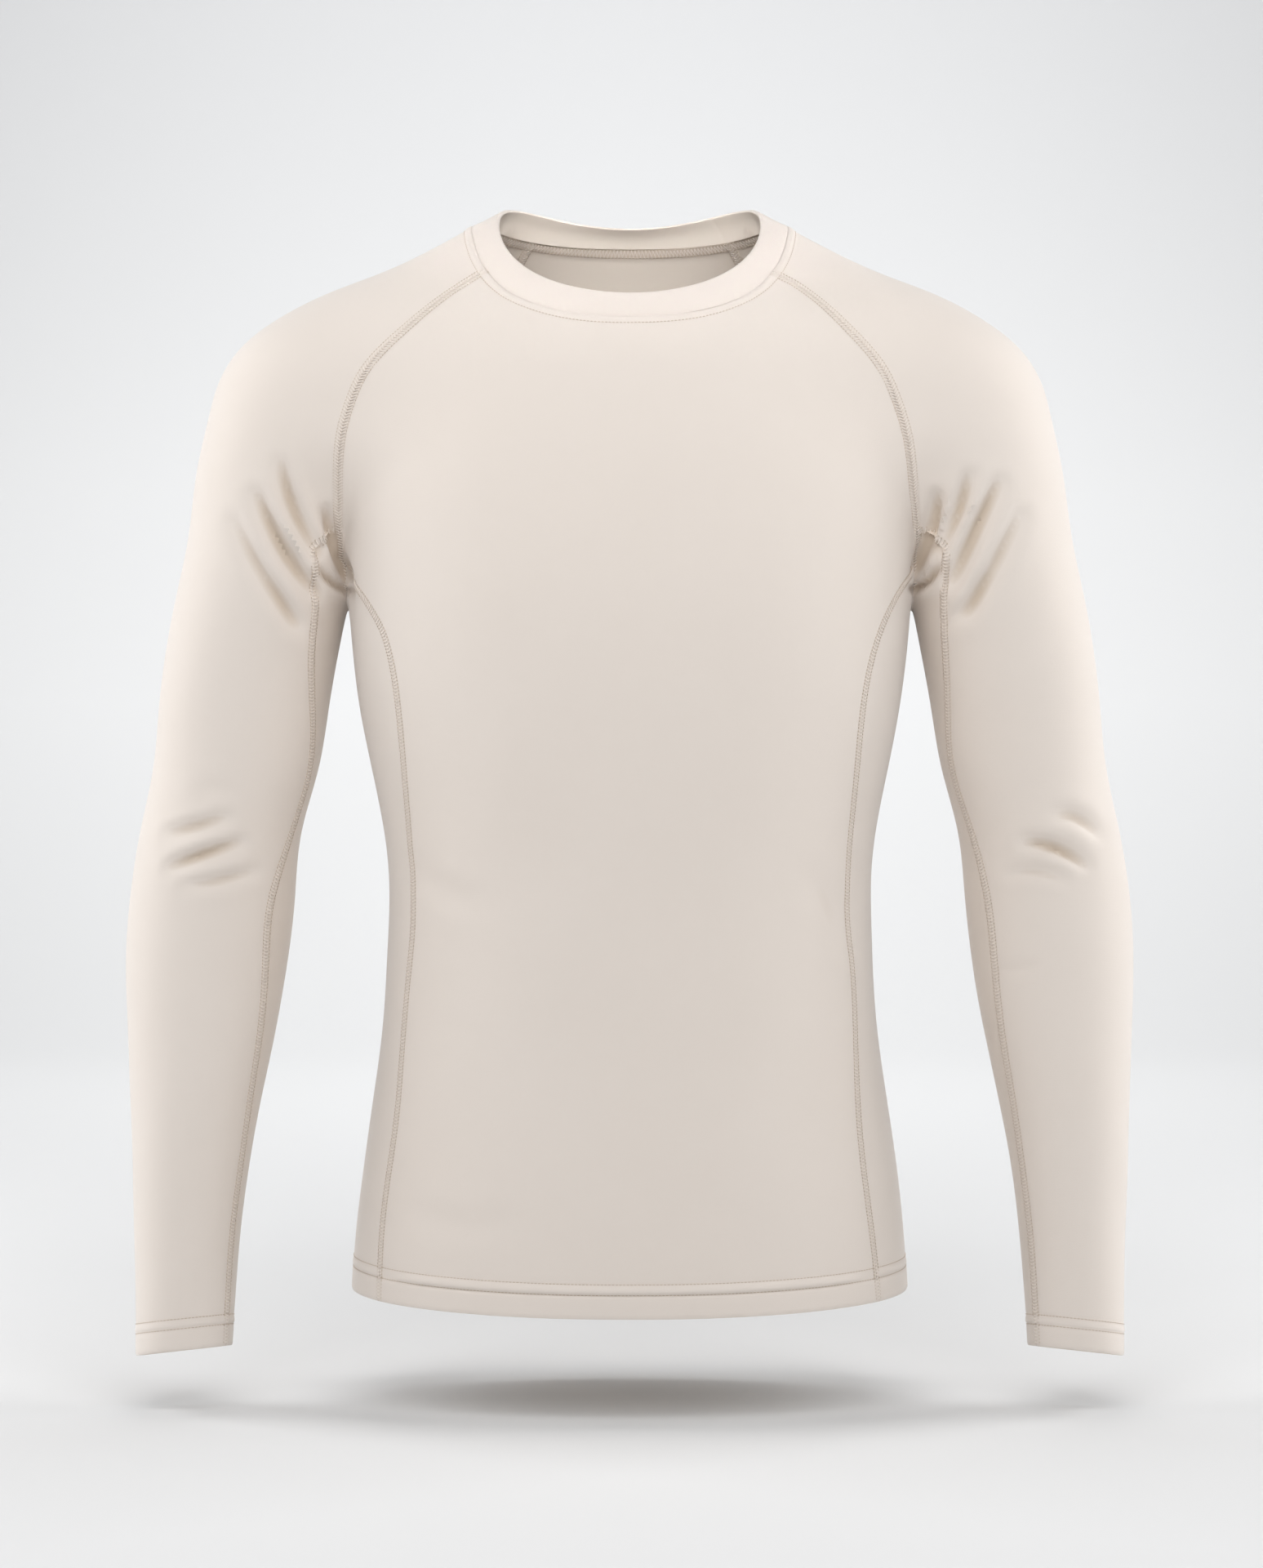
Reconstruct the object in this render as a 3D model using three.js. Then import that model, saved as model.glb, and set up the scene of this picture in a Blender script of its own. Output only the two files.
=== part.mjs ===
// A long-sleeved thermal base layer top with raglan sleeves, filled out as worn, with no wearer.
// Millimetres, +Z up. The front faces -Y, the wearer's left is +X. The origin is in the middle of the
// neck opening, at the height where the shoulders carry the cloth.
import * as THREE from "three";

// Cloth
const clothWall = 1.4;
const seamGap = 0.3;
const hemWall = 2.6;
const hemRise = 0.4;

// Heights of the hems and of the points where seams meet
const hemHeight = -666;
const hemDepth = 20;
const hemSweep = 6;
const cuffHeight = -694.5;
const cuffDepth = 14;
const cuffTiltX = -0.11;
const cuffTiltY = -0.14;
const gussetHeight = -191;
const armpitHeight = -215;
const armpitOut = 174.5;
const armpitAhead = 27;
const crotchHeight = -236;

// Neckband
const bandWall = 2.4;
const bandBulge = 1.1;
const neckSeam = { halfWidth: 97.5, front: 85.5, back: 70, power: 2.4, waves: [-18.96, -34.09, -17.63, 3.02, 2.18] };
const neckTop = { halfWidth: 81.5, front: 76.5, back: 62, power: 2.3, waves: [-8.26, -32.03, -12.44, 2.68, 0.58] };

// How many rows and columns of points the panels have
const yokeRows = 11;
const gussetRows = 2;
const sideRows = 17;
const frontColumns = 18;
const sleeveColumns = 20;
const sideColumns = 6;

// The form's level sections: half the width, and the depth in front of and behind the side line.
const torsoSections = [
  { z: 25, halfWidth: 74, front: 14, back: 50 },
  { z: 0, halfWidth: 100, front: 28, back: 70 },
  { z: -12, halfWidth: 121, front: 38, back: 78 },
  { z: -27, halfWidth: 150, front: 50, back: 88 },
  { z: -42, halfWidth: 178, front: 63, back: 96 },
  { z: -57, halfWidth: 190, front: 79, back: 102 },
  { z: -78, halfWidth: 196, front: 94, back: 108 },
  { z: -110, halfWidth: 189, front: 107, back: 115 },
  { z: -150, halfWidth: 183, front: 117, back: 119 },
  { z: -195, halfWidth: 178, front: 123, back: 120 },
  { z: -235, halfWidth: 175, front: 125, back: 118 },
  { z: -300, halfWidth: 168, front: 122, back: 110 },
  { z: -350, halfWidth: 158, front: 117, back: 103 },
  { z: -400, halfWidth: 150.5, front: 112, back: 97 },
  { z: -450, halfWidth: 151, front: 109, back: 95 },
  { z: -500, halfWidth: 154.5, front: 108, back: 98 },
  { z: -550, halfWidth: 161, front: 109, back: 103 },
  { z: -600, halfWidth: 168, front: 111, back: 108 },
  { z: -664, halfWidth: 173, front: 112, back: 111 },
  { z: -700, halfWidth: 174, front: 112, back: 111 },
];

// The sleeve's level sections, as ellipses about a centre line that bends at the elbow.
const sleeveSections = [
  { z: -60, centreX: 196, centreY: 2, halfWidth: 55, halfDepth: 56 },
  { z: -112, centreX: 205, centreY: 2, halfWidth: 56, halfDepth: 59 },
  { z: -153, centreX: 214.5, centreY: 2, halfWidth: 56, halfDepth: 60 },
  { z: -194, centreX: 222, centreY: 3, halfWidth: 54, halfDepth: 59.5 },
  { z: -235, centreX: 230.5, centreY: 4, halfWidth: 54, halfDepth: 58 },
  { z: -296, centreX: 241, centreY: 5, halfWidth: 53, halfDepth: 54 },
  { z: -337, centreX: 246.3, centreY: 5, halfWidth: 51.5, halfDepth: 51.5 },
  { z: -377, centreX: 255.7, centreY: 4, halfWidth: 50.2, halfDepth: 50.5 },
  { z: -418, centreX: 260.7, centreY: 1, halfWidth: 51.2, halfDepth: 50.5 },
  { z: -459, centreX: 263.8, centreY: -4, halfWidth: 50, halfDepth: 49 },
  { z: -500, centreX: 266, centreY: -11, halfWidth: 45.7, halfDepth: 46 },
  { z: -541, centreX: 269, centreY: -18, halfWidth: 40.5, halfDepth: 42 },
  { z: -581, centreX: 271.3, centreY: -25, halfWidth: 36, halfDepth: 38 },
  { z: -622, centreX: 272.7, centreY: -31, halfWidth: 32.5, halfDepth: 35 },
  { z: -663, centreX: 273.3, centreY: -37, halfWidth: 30.4, halfDepth: 32.5 },
  { z: -701, centreX: 273.8, centreY: -42, halfWidth: 28.8, halfDepth: 31 },
  { z: -720, centreX: 273.8, centreY: -44, halfWidth: 28.5, halfDepth: 31 },
];
const shoulderTop = -114;
const shoulderRise = 55;
const shoulderPower = 2.4;
const shoulderEdge = { inner: 104, outer: 272, innerZ: -4, outerZ: -177 };
const rowRise = 14;

// Seams on the front, by distance from the middle. The two sides differ a little, as worn.
const raglanFront = [
  { z: -32, right: 88, left: 87 },
  { z: -45, right: 107, left: 106 },
  { z: -70, right: 136, left: 132 },
  { z: -94, right: 159.5, left: 152.5 },
  { z: -110, right: 168, left: 160.5 },
  { z: -137, right: 176, left: 169 },
  { z: -165, right: 178.3, left: 173 },
  { z: -191, right: 178.3, left: 176 },
  { z: -215, right: 174.5, left: 174.5 },
];
const raglanBack = [
  { z: 2, right: 62, left: 62 },
  { z: -16, right: 73, left: 73 },
  { z: -45, right: 94, left: 94 },
  { z: -75, right: 116, left: 116 },
  { z: -105, right: 137, left: 137 },
  { z: -145, right: 160, left: 160 },
  { z: -191, right: 175.5, left: 175.5 },
  { z: -215, right: 174.5, left: 174.5 },
];
const sideSeam = [
  { z: -215, right: 174.5, left: 174.5 },
  { z: -236, right: 160.5, left: 160.5 },
  { z: -252, right: 151, left: 153 },
  { z: -268, right: 145.5, left: 147.5 },
  { z: -300, right: 140.2, left: 141 },
  { z: -341, right: 137, left: 137.5 },
  { z: -387, right: 133.5, left: 133.5 },
  { z: -421, right: 131.5, left: 132 },
  { z: -465, right: 135, left: 136 },
  { z: -510, right: 139, left: 137.5 },
  { z: -549, right: 142, left: 138.8 },
  { z: -589, right: 147.5, left: 143 },
  { z: -632, right: 151.5, left: 148 },
  { z: -670, right: 152.4, left: 151.3 },
];

// Where the seams of the sleeve's under panel run, in degrees round from the side next to the body.
const underSeam = [
  { z: -191, frontRight: 38, frontLeft: 38, back: 40 },
  { z: -199, frontRight: 52, frontLeft: 52, back: 50 },
  { z: -215, frontRight: 53, frontLeft: 53, back: 52 },
  { z: -235, frontRight: 47, frontLeft: 46, back: 50 },
  { z: -262, frontRight: 42.5, frontLeft: 39.5, back: 46 },
  { z: -300, frontRight: 32, frontLeft: 32, back: 42 },
  { z: -340, frontRight: 22, frontLeft: 25, back: 40 },
  { z: -375, frontRight: 24, frontLeft: 28, back: 39 },
  { z: -415, frontRight: 39, frontLeft: 38, back: 38 },
  { z: -460, frontRight: 38, frontLeft: 38.5, back: 37 },
  { z: -520, frontRight: 31, frontLeft: 34, back: 36 },
  { z: -600, frontRight: 26, frontLeft: 31, back: 34 },
  { z: -660, frontRight: 26, frontLeft: 31, back: 32 },
  { z: -720, frontRight: 22, frontLeft: 27, back: 32 },
];

// Levels of the sleeve's rows below the gusset: how far down each stretch goes, and its rows.
const sleeveStretches = [
  { z: -300, rows: 10 },
  { z: -355, rows: 3 },
  { z: -420, rows: 7 },
  { z: -678, rows: 8 },
];

// The largest folds, each a soft trough between two points. Side is -1 on the right and 1 on the left,
// face is -1 on the front and 1 on the back.
const folds = [
  { side: -1, face: -1, x1: 208.5, z1: -152, x2: 193, z2: -192, width: 6, depth: 3.2 },
  { side: -1, face: -1, x1: 222, z1: -177, x2: 195, z2: -223, width: 6.5, depth: 3.6 },
  { side: -1, face: -1, x1: 230, z1: -192, x2: 207, z2: -231, width: 7, depth: 2.4 },
  { side: -1, face: -1, x1: 273.5, z1: -376, x2: 245, z2: -367, width: 7, depth: 1.6 },
  { side: -1, face: -1, x1: 275.5, z1: -395.5, x2: 245, z2: -384.5, width: 6.5, depth: 2.6 },
  { side: -1, face: -1, x1: 267.5, z1: -407, x2: 232, z2: -403.5, width: 6, depth: 1.6 },
  { side: 1, face: -1, x1: 201, z1: -163, x2: 188, z2: -194, width: 6, depth: 3.2 },
  { side: 1, face: -1, x1: 218, z1: -171, x2: 191.5, z2: -212.5, width: 6.5, depth: 3.6 },
  { side: 1, face: -1, x1: 231, z1: -193, x2: 211, z2: -229, width: 7, depth: 2.4 },
  { side: 1, face: -1, x1: 267.5, z1: -368.5, x2: 285, z2: -376.5, width: 6.5, depth: 1.6 },
  { side: 1, face: -1, x1: 247, z1: -385.5, x2: 276, z2: -396, width: 7, depth: 2.6 },
  { side: 1, face: -1, x1: 237, z1: -403, x2: 262, z2: -406, width: 6, depth: 1.4 },
  { side: -1, face: 1, x1: 211, z1: -150, x2: 194, z2: -200, width: 7.5, depth: 3.2 },
  { side: -1, face: 1, x1: 227, z1: -178, x2: 203, z2: -232, width: 7.5, depth: 2.8 },
  { side: -1, face: 1, x1: 282, z1: -374, x2: 243, z2: -383, width: 8, depth: 1.6 },
  { side: 1, face: 1, x1: 208, z1: -156, x2: 192, z2: -202, width: 7.5, depth: 3.2 },
  { side: 1, face: 1, x1: 224, z1: -172, x2: 201, z2: -228, width: 7.5, depth: 2.8 },
  { side: 1, face: 1, x1: 284, z1: -370, x2: 246, z2: -378, width: 8, depth: 1.6 },
];

// How far the body's and the sleeve's forms melt together, at the armpit and over the shoulder
const armpitSoftness = 7;
const shoulderSoftness = 95;

const clothColour = new THREE.Color(0.83, 0.77, 0.71);

// A smooth step from 0 to 1 as value goes from start to end.
function ramp(start, end, value) {
  const t = Math.min(Math.max((value - start) / (end - start), 0), 1);
  return t * t * (3 - 2 * t);
}

// A natural cubic spline through one column of a table, read by height.
function splineOf(table, column) {
  const rows = [...table].sort((a, b) => a.z - b.z);
  const z = rows.map((row) => row.z);
  const v = rows.map((row) => row[column]);
  const last = rows.length - 1;
  const bend = new Array(last + 1).fill(0);
  const sweep = new Array(last + 1).fill(0);
  for (let i = 1; i < last; i += 1) {
    const share = (z[i] - z[i - 1]) / (z[i + 1] - z[i - 1]);
    const pivot = share * bend[i - 1] + 2;
    const slopeAbove = (v[i + 1] - v[i]) / (z[i + 1] - z[i]);
    const slopeBelow = (v[i] - v[i - 1]) / (z[i] - z[i - 1]);
    bend[i] = (share - 1) / pivot;
    sweep[i] = ((6 * (slopeAbove - slopeBelow)) / (z[i + 1] - z[i - 1]) - share * sweep[i - 1]) / pivot;
  }
  bend[last] = 0;
  for (let i = last - 1; i >= 0; i -= 1) bend[i] = bend[i] * bend[i + 1] + sweep[i];
  return (height) => {
    const at = Math.min(Math.max(height, z[0]), z[last]);
    let i = 0;
    while (i < last - 1 && z[i + 1] < at) i += 1;
    const span = z[i + 1] - z[i];
    const a = (z[i + 1] - at) / span;
    const b = 1 - a;
    const curve = (a ** 3 - a) * bend[i] + (b ** 3 - b) * bend[i + 1];
    return a * v[i] + b * v[i + 1] + (curve * span * span) / 6;
  };
}

function splinesOf(table) {
  const columns = Object.keys(table[0]).filter((name) => name !== "z");
  return Object.fromEntries(columns.map((name) => [name, splineOf(table, name)]));
}

const torso = splinesOf(torsoSections);
const sleeve = splinesOf(sleeveSections);
const seams = {
  raglanFront: splinesOf(raglanFront),
  raglanBack: splinesOf(raglanBack),
  side: splinesOf(sideSeam),
  under: splinesOf(underSeam),
};

// How far a point is outside the body's form, measured level from the middle line.
function bodyField(p) {
  const depth = p.y < 0 ? torso.front(p.z) : torso.back(p.z);
  const power = 2 + 0.3 * ramp(-90, -200, p.z);
  const across = (Math.abs(p.x) / torso.halfWidth(p.z)) ** power;
  const share = (across + (Math.abs(p.y) / depth) ** power) ** (1 / power);
  return Math.hypot(p.x, p.y) * (1 - 1 / Math.max(share, 1e-6));
}

// How far a point is outside the sleeve's form, measured from its centre line. The shoulder is its dome.
function sleeveField(p) {
  const x = Math.abs(p.x) - sleeve.centreX(p.z);
  const y = p.y - sleeve.centreY(p.z);
  const up = Math.max(p.z - shoulderTop, 0);
  const level = (x / sleeve.halfWidth(p.z)) ** 2 + (y / sleeve.halfDepth(p.z)) ** 2;
  const share = Math.sqrt(level + (up / shoulderRise) ** shoulderPower);
  return Math.hypot(x, y, up) * (1 - 1 / Math.max(share, 1e-6));
}

// How deep the folds are at a point: a trough with a low ridge on each side of it.
function foldDepth(p) {
  let sum = 0;
  for (const fold of folds) {
    if (fold.side * p.x < 0) continue;
    const side = ramp(0, 18, fold.face * (p.y - sleeve.centreY(p.z)));
    const dx = fold.x2 - fold.x1;
    const dz = fold.z2 - fold.z1;
    const x = Math.abs(p.x) - fold.x1;
    const z = p.z - fold.z1;
    const along = Math.min(Math.max((x * dx + z * dz) / (dx * dx + dz * dz), 0), 1);
    const away = Math.hypot(x - along * dx, z - along * dz) / fold.width;
    const strength = 0.35 + 0.65 * Math.sin(Math.PI * along);
    sum += side * strength * fold.depth * (1 - 0.5 * away * away) * Math.exp(-0.5 * away * away);
  }
  return sum;
}

// The worn form: body and sleeve melted together, and folded. It is 0 on the cloth's outside.
function form(p) {
  const body = bodyField(p);
  const arm = sleeveField(p);
  const softness = armpitSoftness + (shoulderSoftness - armpitSoftness) * ramp(-212, -125, p.z);
  const melt = Math.max(softness - Math.abs(body - arm), 0) / softness;
  return Math.min(body, arm) - (melt ** 3 * softness) / 6 + foldDepth(p);
}

function slopeOf(field, p) {
  const step = 0.4;
  const slope = new THREE.Vector3();
  for (const axis of ["x", "y", "z"]) {
    const above = p.clone();
    const below = p.clone();
    above[axis] += step;
    below[axis] -= step;
    slope[axis] = (field(above) - field(below)) / (2 * step);
  }
  return slope;
}

// Moves a point straight onto a field's surface, in steps.
function settle(p, field = form) {
  const longest = 12;
  for (let i = 0; i < 14; i += 1) {
    const slope = slopeOf(field, p);
    const step = slope.multiplyScalar(-field(p) / Math.max(slope.lengthSq(), 1e-6));
    p.add(step.clampLength(0, longest));
  }
  return p;
}

// Moves a point into the groove where the sleeve's form meets the body's.
function settleInGroove(p) {
  const difference = (q) => bodyField(q) - sleeveField(q);
  for (let i = 0; i < 12; i += 1) {
    settle(p, difference);
    settle(p, form);
  }
  return p;
}

// The point on the form that is seen at x and z from the front (face -1) or the back (face 1).
function seenAt(x, z, face) {
  let outside = 170;
  while (outside > 0 && form(new THREE.Vector3(x, face * outside, z)) > 0) outside -= 2;
  let inside = outside;
  outside += 2;
  for (let i = 0; i < 30; i += 1) {
    const middle = (inside + outside) / 2;
    if (form(new THREE.Vector3(x, face * middle, z)) > 0) outside = middle;
    else inside = middle;
  }
  return new THREE.Vector3(x, face * inside, z);
}

// A line of points divided again into equal steps, and settled on the form.
function evenly(points, count) {
  const lengths = [0];
  for (let i = 1; i < points.length; i += 1) {
    lengths.push(lengths[i - 1] + points[i].distanceTo(points[i - 1]));
  }
  const total = lengths[lengths.length - 1];
  const divided = [];
  for (let k = 0; k <= count; k += 1) {
    const at = (total * k) / count;
    let i = 1;
    while (i < points.length - 1 && lengths[i] < at) i += 1;
    const share = (at - lengths[i - 1]) / (lengths[i] - lengths[i - 1]);
    divided.push(points[i - 1].clone().lerp(points[i], share));
  }
  return divided.map((p, k) => (k === 0 || k === count ? p : settle(p)));
}

// A row of points from a to c by way of b, on the arc through the three, settled on the form.
function rowThrough(a, b, c, columns, first = form) {
  const ab = b.clone().sub(a);
  const ac = c.clone().sub(a);
  const normal = ab.clone().cross(ac);
  const scale = 2 * normal.lengthSq();
  const toCentre = normal.clone().cross(ab).multiplyScalar(ac.lengthSq());
  toCentre.add(ac.clone().cross(normal).multiplyScalar(ab.lengthSq())).divideScalar(scale);
  const centre = a.clone().add(toCentre);
  const u = a.clone().sub(centre);
  const w = normal.clone().normalize().cross(u);
  const angleOf = (p) => {
    const arm = p.clone().sub(centre);
    const angle = Math.atan2(arm.dot(w), arm.dot(u));
    return angle < 0 ? angle + 2 * Math.PI : angle;
  };
  const whole = angleOf(c);
  const row = [];
  for (let k = 0; k <= columns; k += 1) {
    const angle = (whole * k) / columns;
    const p = centre.clone().addScaledVector(u, Math.cos(angle)).addScaledVector(w, Math.sin(angle));
    row.push(k === 0 ? a.clone() : k === columns ? c.clone() : settle(settle(p, first)));
  }
  return row;
}

// A level loop round the neck, wider than an ellipse at its corners, and lifted by a few cosine waves.
// Turn 0 is at the front, 0.25 on the wearer's left and 0.5 at the back.
function neckLoop({ halfWidth, front, back, power, waves }, turn) {
  const angle = 2 * Math.PI * turn;
  const across = Math.sin(angle);
  const ahead = Math.cos(angle);
  const round = (Math.abs(across) ** power + Math.abs(ahead) ** power) ** (-1 / power);
  const y = -ahead * round * (ahead > 0 ? front : back);
  const z = waves.reduce((sum, wave, n) => sum + wave * Math.cos(n * angle), 0);
  return new THREE.Vector3(across * round * halfWidth, y, z);
}

const neckSeamAt = (turn) => settle(neckLoop(neckSeam, turn));
const neckTopAt = (turn) => neckLoop(neckTop, turn);

// The turn at which the neck seam passes a given distance from the middle, on the front or the back half.
function turnAt(x, face) {
  let low = face < 0 ? 0 : 0.25;
  let high = face < 0 ? 0.25 : 0.5;
  for (let i = 0; i < 24; i += 1) {
    const middle = (low + high) / 2;
    const short = neckSeamAt(middle).x < x;
    if (short === face < 0) low = middle;
    else high = middle;
  }
  return (low + high) / 2;
}

function neckStretch(from, to, columns) {
  return Array.from({ length: columns + 1 }, (_, k) => neckSeamAt(from + ((to - from) * k) / columns));
}

// All seams of one side of the body. The side is "right" or "left", the wearer's.
function seamsOf(side) {
  const sign = side === "left" ? 1 : -1;
  const seamPoints = (spline, face, from, to) => {
    const steps = 36;
    const heights = Array.from({ length: steps + 1 }, (_, i) => from + ((to - from) * i) / steps);
    return heights.map((z) => seenAt(sign * spline(z), z, face));
  };
  const made = {};
  for (const face of [-1, 1]) {
    const name = face < 0 ? "front" : "back";
    const raglan = (face < 0 ? seams.raglanFront : seams.raglanBack)[side];
    const start = face < 0 ? raglanFront[0] : raglanBack[0];
    const neckTurn = sign * turnAt(start[side], face);
    const neckPoint = neckSeamAt(neckTurn);
    const armpit = settleInGroove(new THREE.Vector3(sign * armpitOut, face * armpitAhead, armpitHeight));
    const upper = seamPoints(raglan, face, start.z - 8, gussetHeight);
    const lower = [upper[upper.length - 1], armpit];
    const middle = lower[0].clone().lerp(armpit, 0.5);
    const sidePoints = seamPoints(seams.side[side], face, armpitHeight - 9, hemHeight);
    made[name] = {
      neckTurn,
      armpit,
      raglan: evenly([neckPoint, ...upper], yokeRows),
      gusset: [lower[0], settle(middle), armpit],
      side: [armpit, ...sidePoints],
    };
    const column = face > 0 ? "back" : side === "left" ? "frontLeft" : "frontRight";
    made[name].under = (z) => {
      const angle = (seams.under[column](z) * Math.PI) / 180;
      const x = sleeve.centreX(z) - sleeve.halfWidth(z) * Math.cos(angle);
      const y = sleeve.centreY(z) + face * sleeve.halfDepth(z) * Math.sin(angle);
      return settle(settle(new THREE.Vector3(sign * x, y, tilted(z, x, y)), sleeveField));
    };
  }
  const underarm = [made.front.armpit];
  const ends = [made.front.armpit.y, made.back.armpit.y];
  for (let k = 1; k < sideColumns; k += 1) {
    const y = ends[0] + ((ends[1] - ends[0]) * k) / sideColumns;
    const share = (y - (ends[0] + ends[1]) / 2) / ((ends[1] - ends[0]) / 2);
    const z = crotchHeight + (armpitHeight - crotchHeight) * share * share;
    underarm.push(settleInGroove(new THREE.Vector3(sign * armpitOut, y, z)));
  }
  underarm.push(made.back.armpit);
  made.underarm = underarm;
  return made;
}

const bodySeams = { right: seamsOf("right"), left: seamsOf("left") };

// Levels of the body's rows from the armpit to the hem. The last ones mark the hem's turned edge.
function sideHeights() {
  const top = armpitHeight;
  const fold = hemHeight + hemDepth;
  const plain = Array.from({ length: sideRows + 1 }, (_, i) => top + ((fold + 1 - top) * i) / sideRows);
  return [...plain.slice(1), fold - 1, hemHeight];
}

// A level that rises near the hem towards the sides.
function hemmed(z, x) {
  return z + ramp(-560, hemHeight, z) * hemSweep * (Math.abs(x) / torso.halfWidth(z)) ** 2.5;
}

// A seam's point at a height, on its line of points.
function pointAtHeight(points, level) {
  const z = hemmed(level, points[points.length - 1].x);
  let i = 1;
  while (i < points.length - 1 && points[i].z > z) i += 1;
  const share = (z - points[i - 1].z) / (points[i].z - points[i - 1].z);
  const p = points[i - 1].clone().lerp(points[i], Math.min(Math.max(share, 0), 1));
  return seenAt(p.x, z, Math.sign(p.y));
}

// Each edge column of a body panel: down the raglan seam, the gusset's seam and the side seam.
function bodyEdge(side, face) {
  const lines = bodySeams[side][face < 0 ? "front" : "back"];
  const below = sideHeights().map((z) => pointAtHeight(lines.side, z));
  return [...lines.raglan, ...lines.gusset.slice(1), ...below];
}

// The front or back panel: rows from edge to edge by way of the middle line.
function bodyGrid(face) {
  const right = bodyEdge("right", face);
  const left = bodyEdge("left", face);
  const top = face < 0 ? 0 : 0.5;
  const neckMiddle = neckSeamAt(top);
  const yoke = yokeRows + gussetRows;
  const heights = sideHeights();
  const middle = right.map((p, i) => {
    const z = neckMiddle.z + ((armpitHeight - neckMiddle.z) * i) / yoke;
    return i === 0 ? neckMiddle : seenAt(0, i <= yoke ? z : heights[i - yoke - 1], face);
  });
  const lines = face < 0 ? "front" : "back";
  const turns = [bodySeams.right[lines].neckTurn, bodySeams.left[lines].neckTurn];
  if (face > 0) turns[0] += 1;
  const neck = neckStretch(turns[0], turns[1], frontColumns);
  const rows = right.map((p, i) => rowThrough(p, middle[i], left[i], frontColumns, bodyField));
  rows[0] = neck;
  return rows;
}

// A side panel: rows from the front side seam to the back one, under the arm.
function sideGrid(side) {
  const sign = side === "left" ? 1 : -1;
  const { front, back, underarm } = bodySeams[side];
  const heights = sideHeights();
  const top = underarm[sideColumns / 2].z;
  const rows = heights.map((z, i) => {
    const drop = Math.max(0, 1 - (i + 1) / 6);
    const deep = i < heights.length - 3 ? z + (top - armpitHeight) * drop ** 1.5 : z;
    const x = torso.halfWidth(deep);
    const middle = settle(new THREE.Vector3(sign * x, 0, hemmed(deep, x)), bodyField);
    return rowThrough(pointAtHeight(front.side, z), middle, pointAtHeight(back.side, z), sideColumns, bodyField);
  });
  return [underarm, ...rows];
}

// Levels of the sleeve's rows from the gusset to the cuff.
function sleeveHeights() {
  const heights = [];
  let from = gussetHeight;
  for (const { z, rows } of sleeveStretches) {
    for (let i = 1; i <= rows; i += 1) heights.push(from + ((z - from) * i) / rows);
    from = z;
  }
  return [...heights, cuffHeight + cuffDepth + 1, cuffHeight + cuffDepth - 1, cuffHeight];
}

// A level that tilts with the sleeve near the cuff: down towards the outside and the back.
function tilted(z, x, y) {
  const out = cuffTiltX * (Math.abs(x) - sleeve.centreX(z));
  return z + ramp(-560, cuffHeight, z) * (out + cuffTiltY * (y - sleeve.centreY(z)));
}

// The outermost line of the shoulder and arm, by how far down the raglan seam the row starts.
function shoulderLine(sign, count) {
  const start = neckSeamAt(sign * 0.25);
  const points = [start];
  const steps = 40;
  const { inner, outer, innerZ, outerZ } = shoulderEdge;
  for (let i = 1; i <= steps; i += 1) {
    const turn = (i / steps) * (Math.PI / 2);
    const x = inner + (outer - inner) * Math.sin(turn) ** 0.92;
    const z = innerZ + (outerZ - innerZ) * (1 - Math.cos(turn)) ** 1.05;
    points.push(settle(new THREE.Vector3(sign * x, 0, z)));
  }
  return evenly(points, count);
}

// The sleeve: rows from the front seam over the shoulder or round the arm to the back seam.
function sleeveGrid(side) {
  const sign = side === "left" ? 1 : -1;
  const { front, back } = bodySeams[side];
  const line = shoulderLine(sign, yokeRows);
  const rows = front.raglan.map((p, i) => rowThrough(p, line[i], back.raglan[i], sleeveColumns));
  rows[0] = neckStretch(front.neckTurn, back.neckTurn, sleeveColumns);
  for (const z of sleeveHeights()) {
    const rise = rowRise * ramp(-330, gussetHeight, z);
    const outer = new THREE.Vector3(sign * (sleeve.centreX(z) + sleeve.halfWidth(z)), sleeve.centreY(z), z);
    outer.z = tilted(z, outer.x, outer.y) + rise;
    const ends = [front.under(z), back.under(z)];
    rows.push(rowThrough(ends[0], settle(outer, sleeveField), ends[1], sleeveColumns, sleeveField));
  }
  return rows;
}

// The sleeve's under panel: from the gusset and underarm seams down the inside of the arm to the cuff.
function underSleeveGrid(side) {
  const sign = side === "left" ? 1 : -1;
  const { front, back, underarm } = bodySeams[side];
  const backGusset = [...back.gusset].reverse();
  const top = [...front.gusset.slice(0, -1), ...underarm, ...backGusset.slice(1)];
  const columns = top.length - 1;
  const heights = sleeveHeights();
  const lowest = underarm[sideColumns / 2].z;
  const rows = heights.map((z, i) => {
    const drop = Math.max(0, 1 - (i + 1) / 9);
    const level = z + (lowest - gussetHeight) * drop;
    const x = sleeve.centreX(level) - sleeve.halfWidth(level);
    const inner = new THREE.Vector3(sign * x, sleeve.centreY(level), tilted(level, x, sleeve.centreY(level)));
    const ends = [front.under(z), back.under(z)];
    return rowThrough(ends[0], settle(inner, sleeveField), ends[1], columns, sleeveField);
  });
  return [top, ...rows];
}

// The places round a grid's edge, in order, each with whether the edge from it to the next one is sewn.
function rimOf(grid) {
  const last = grid.length - 1;
  const end = grid[0].length - 1;
  const rim = [];
  for (let k = 0; k < end; k += 1) rim.push({ i: 0, k, sewn: true });
  for (let i = 0; i < last; i += 1) rim.push({ i, k: end, sewn: true });
  for (let k = end; k > 0; k -= 1) rim.push({ i: last, k, sewn: false });
  for (let i = last; i > 0; i -= 1) rim.push({ i, k: 0, sewn: true });
  return rim;
}

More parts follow.
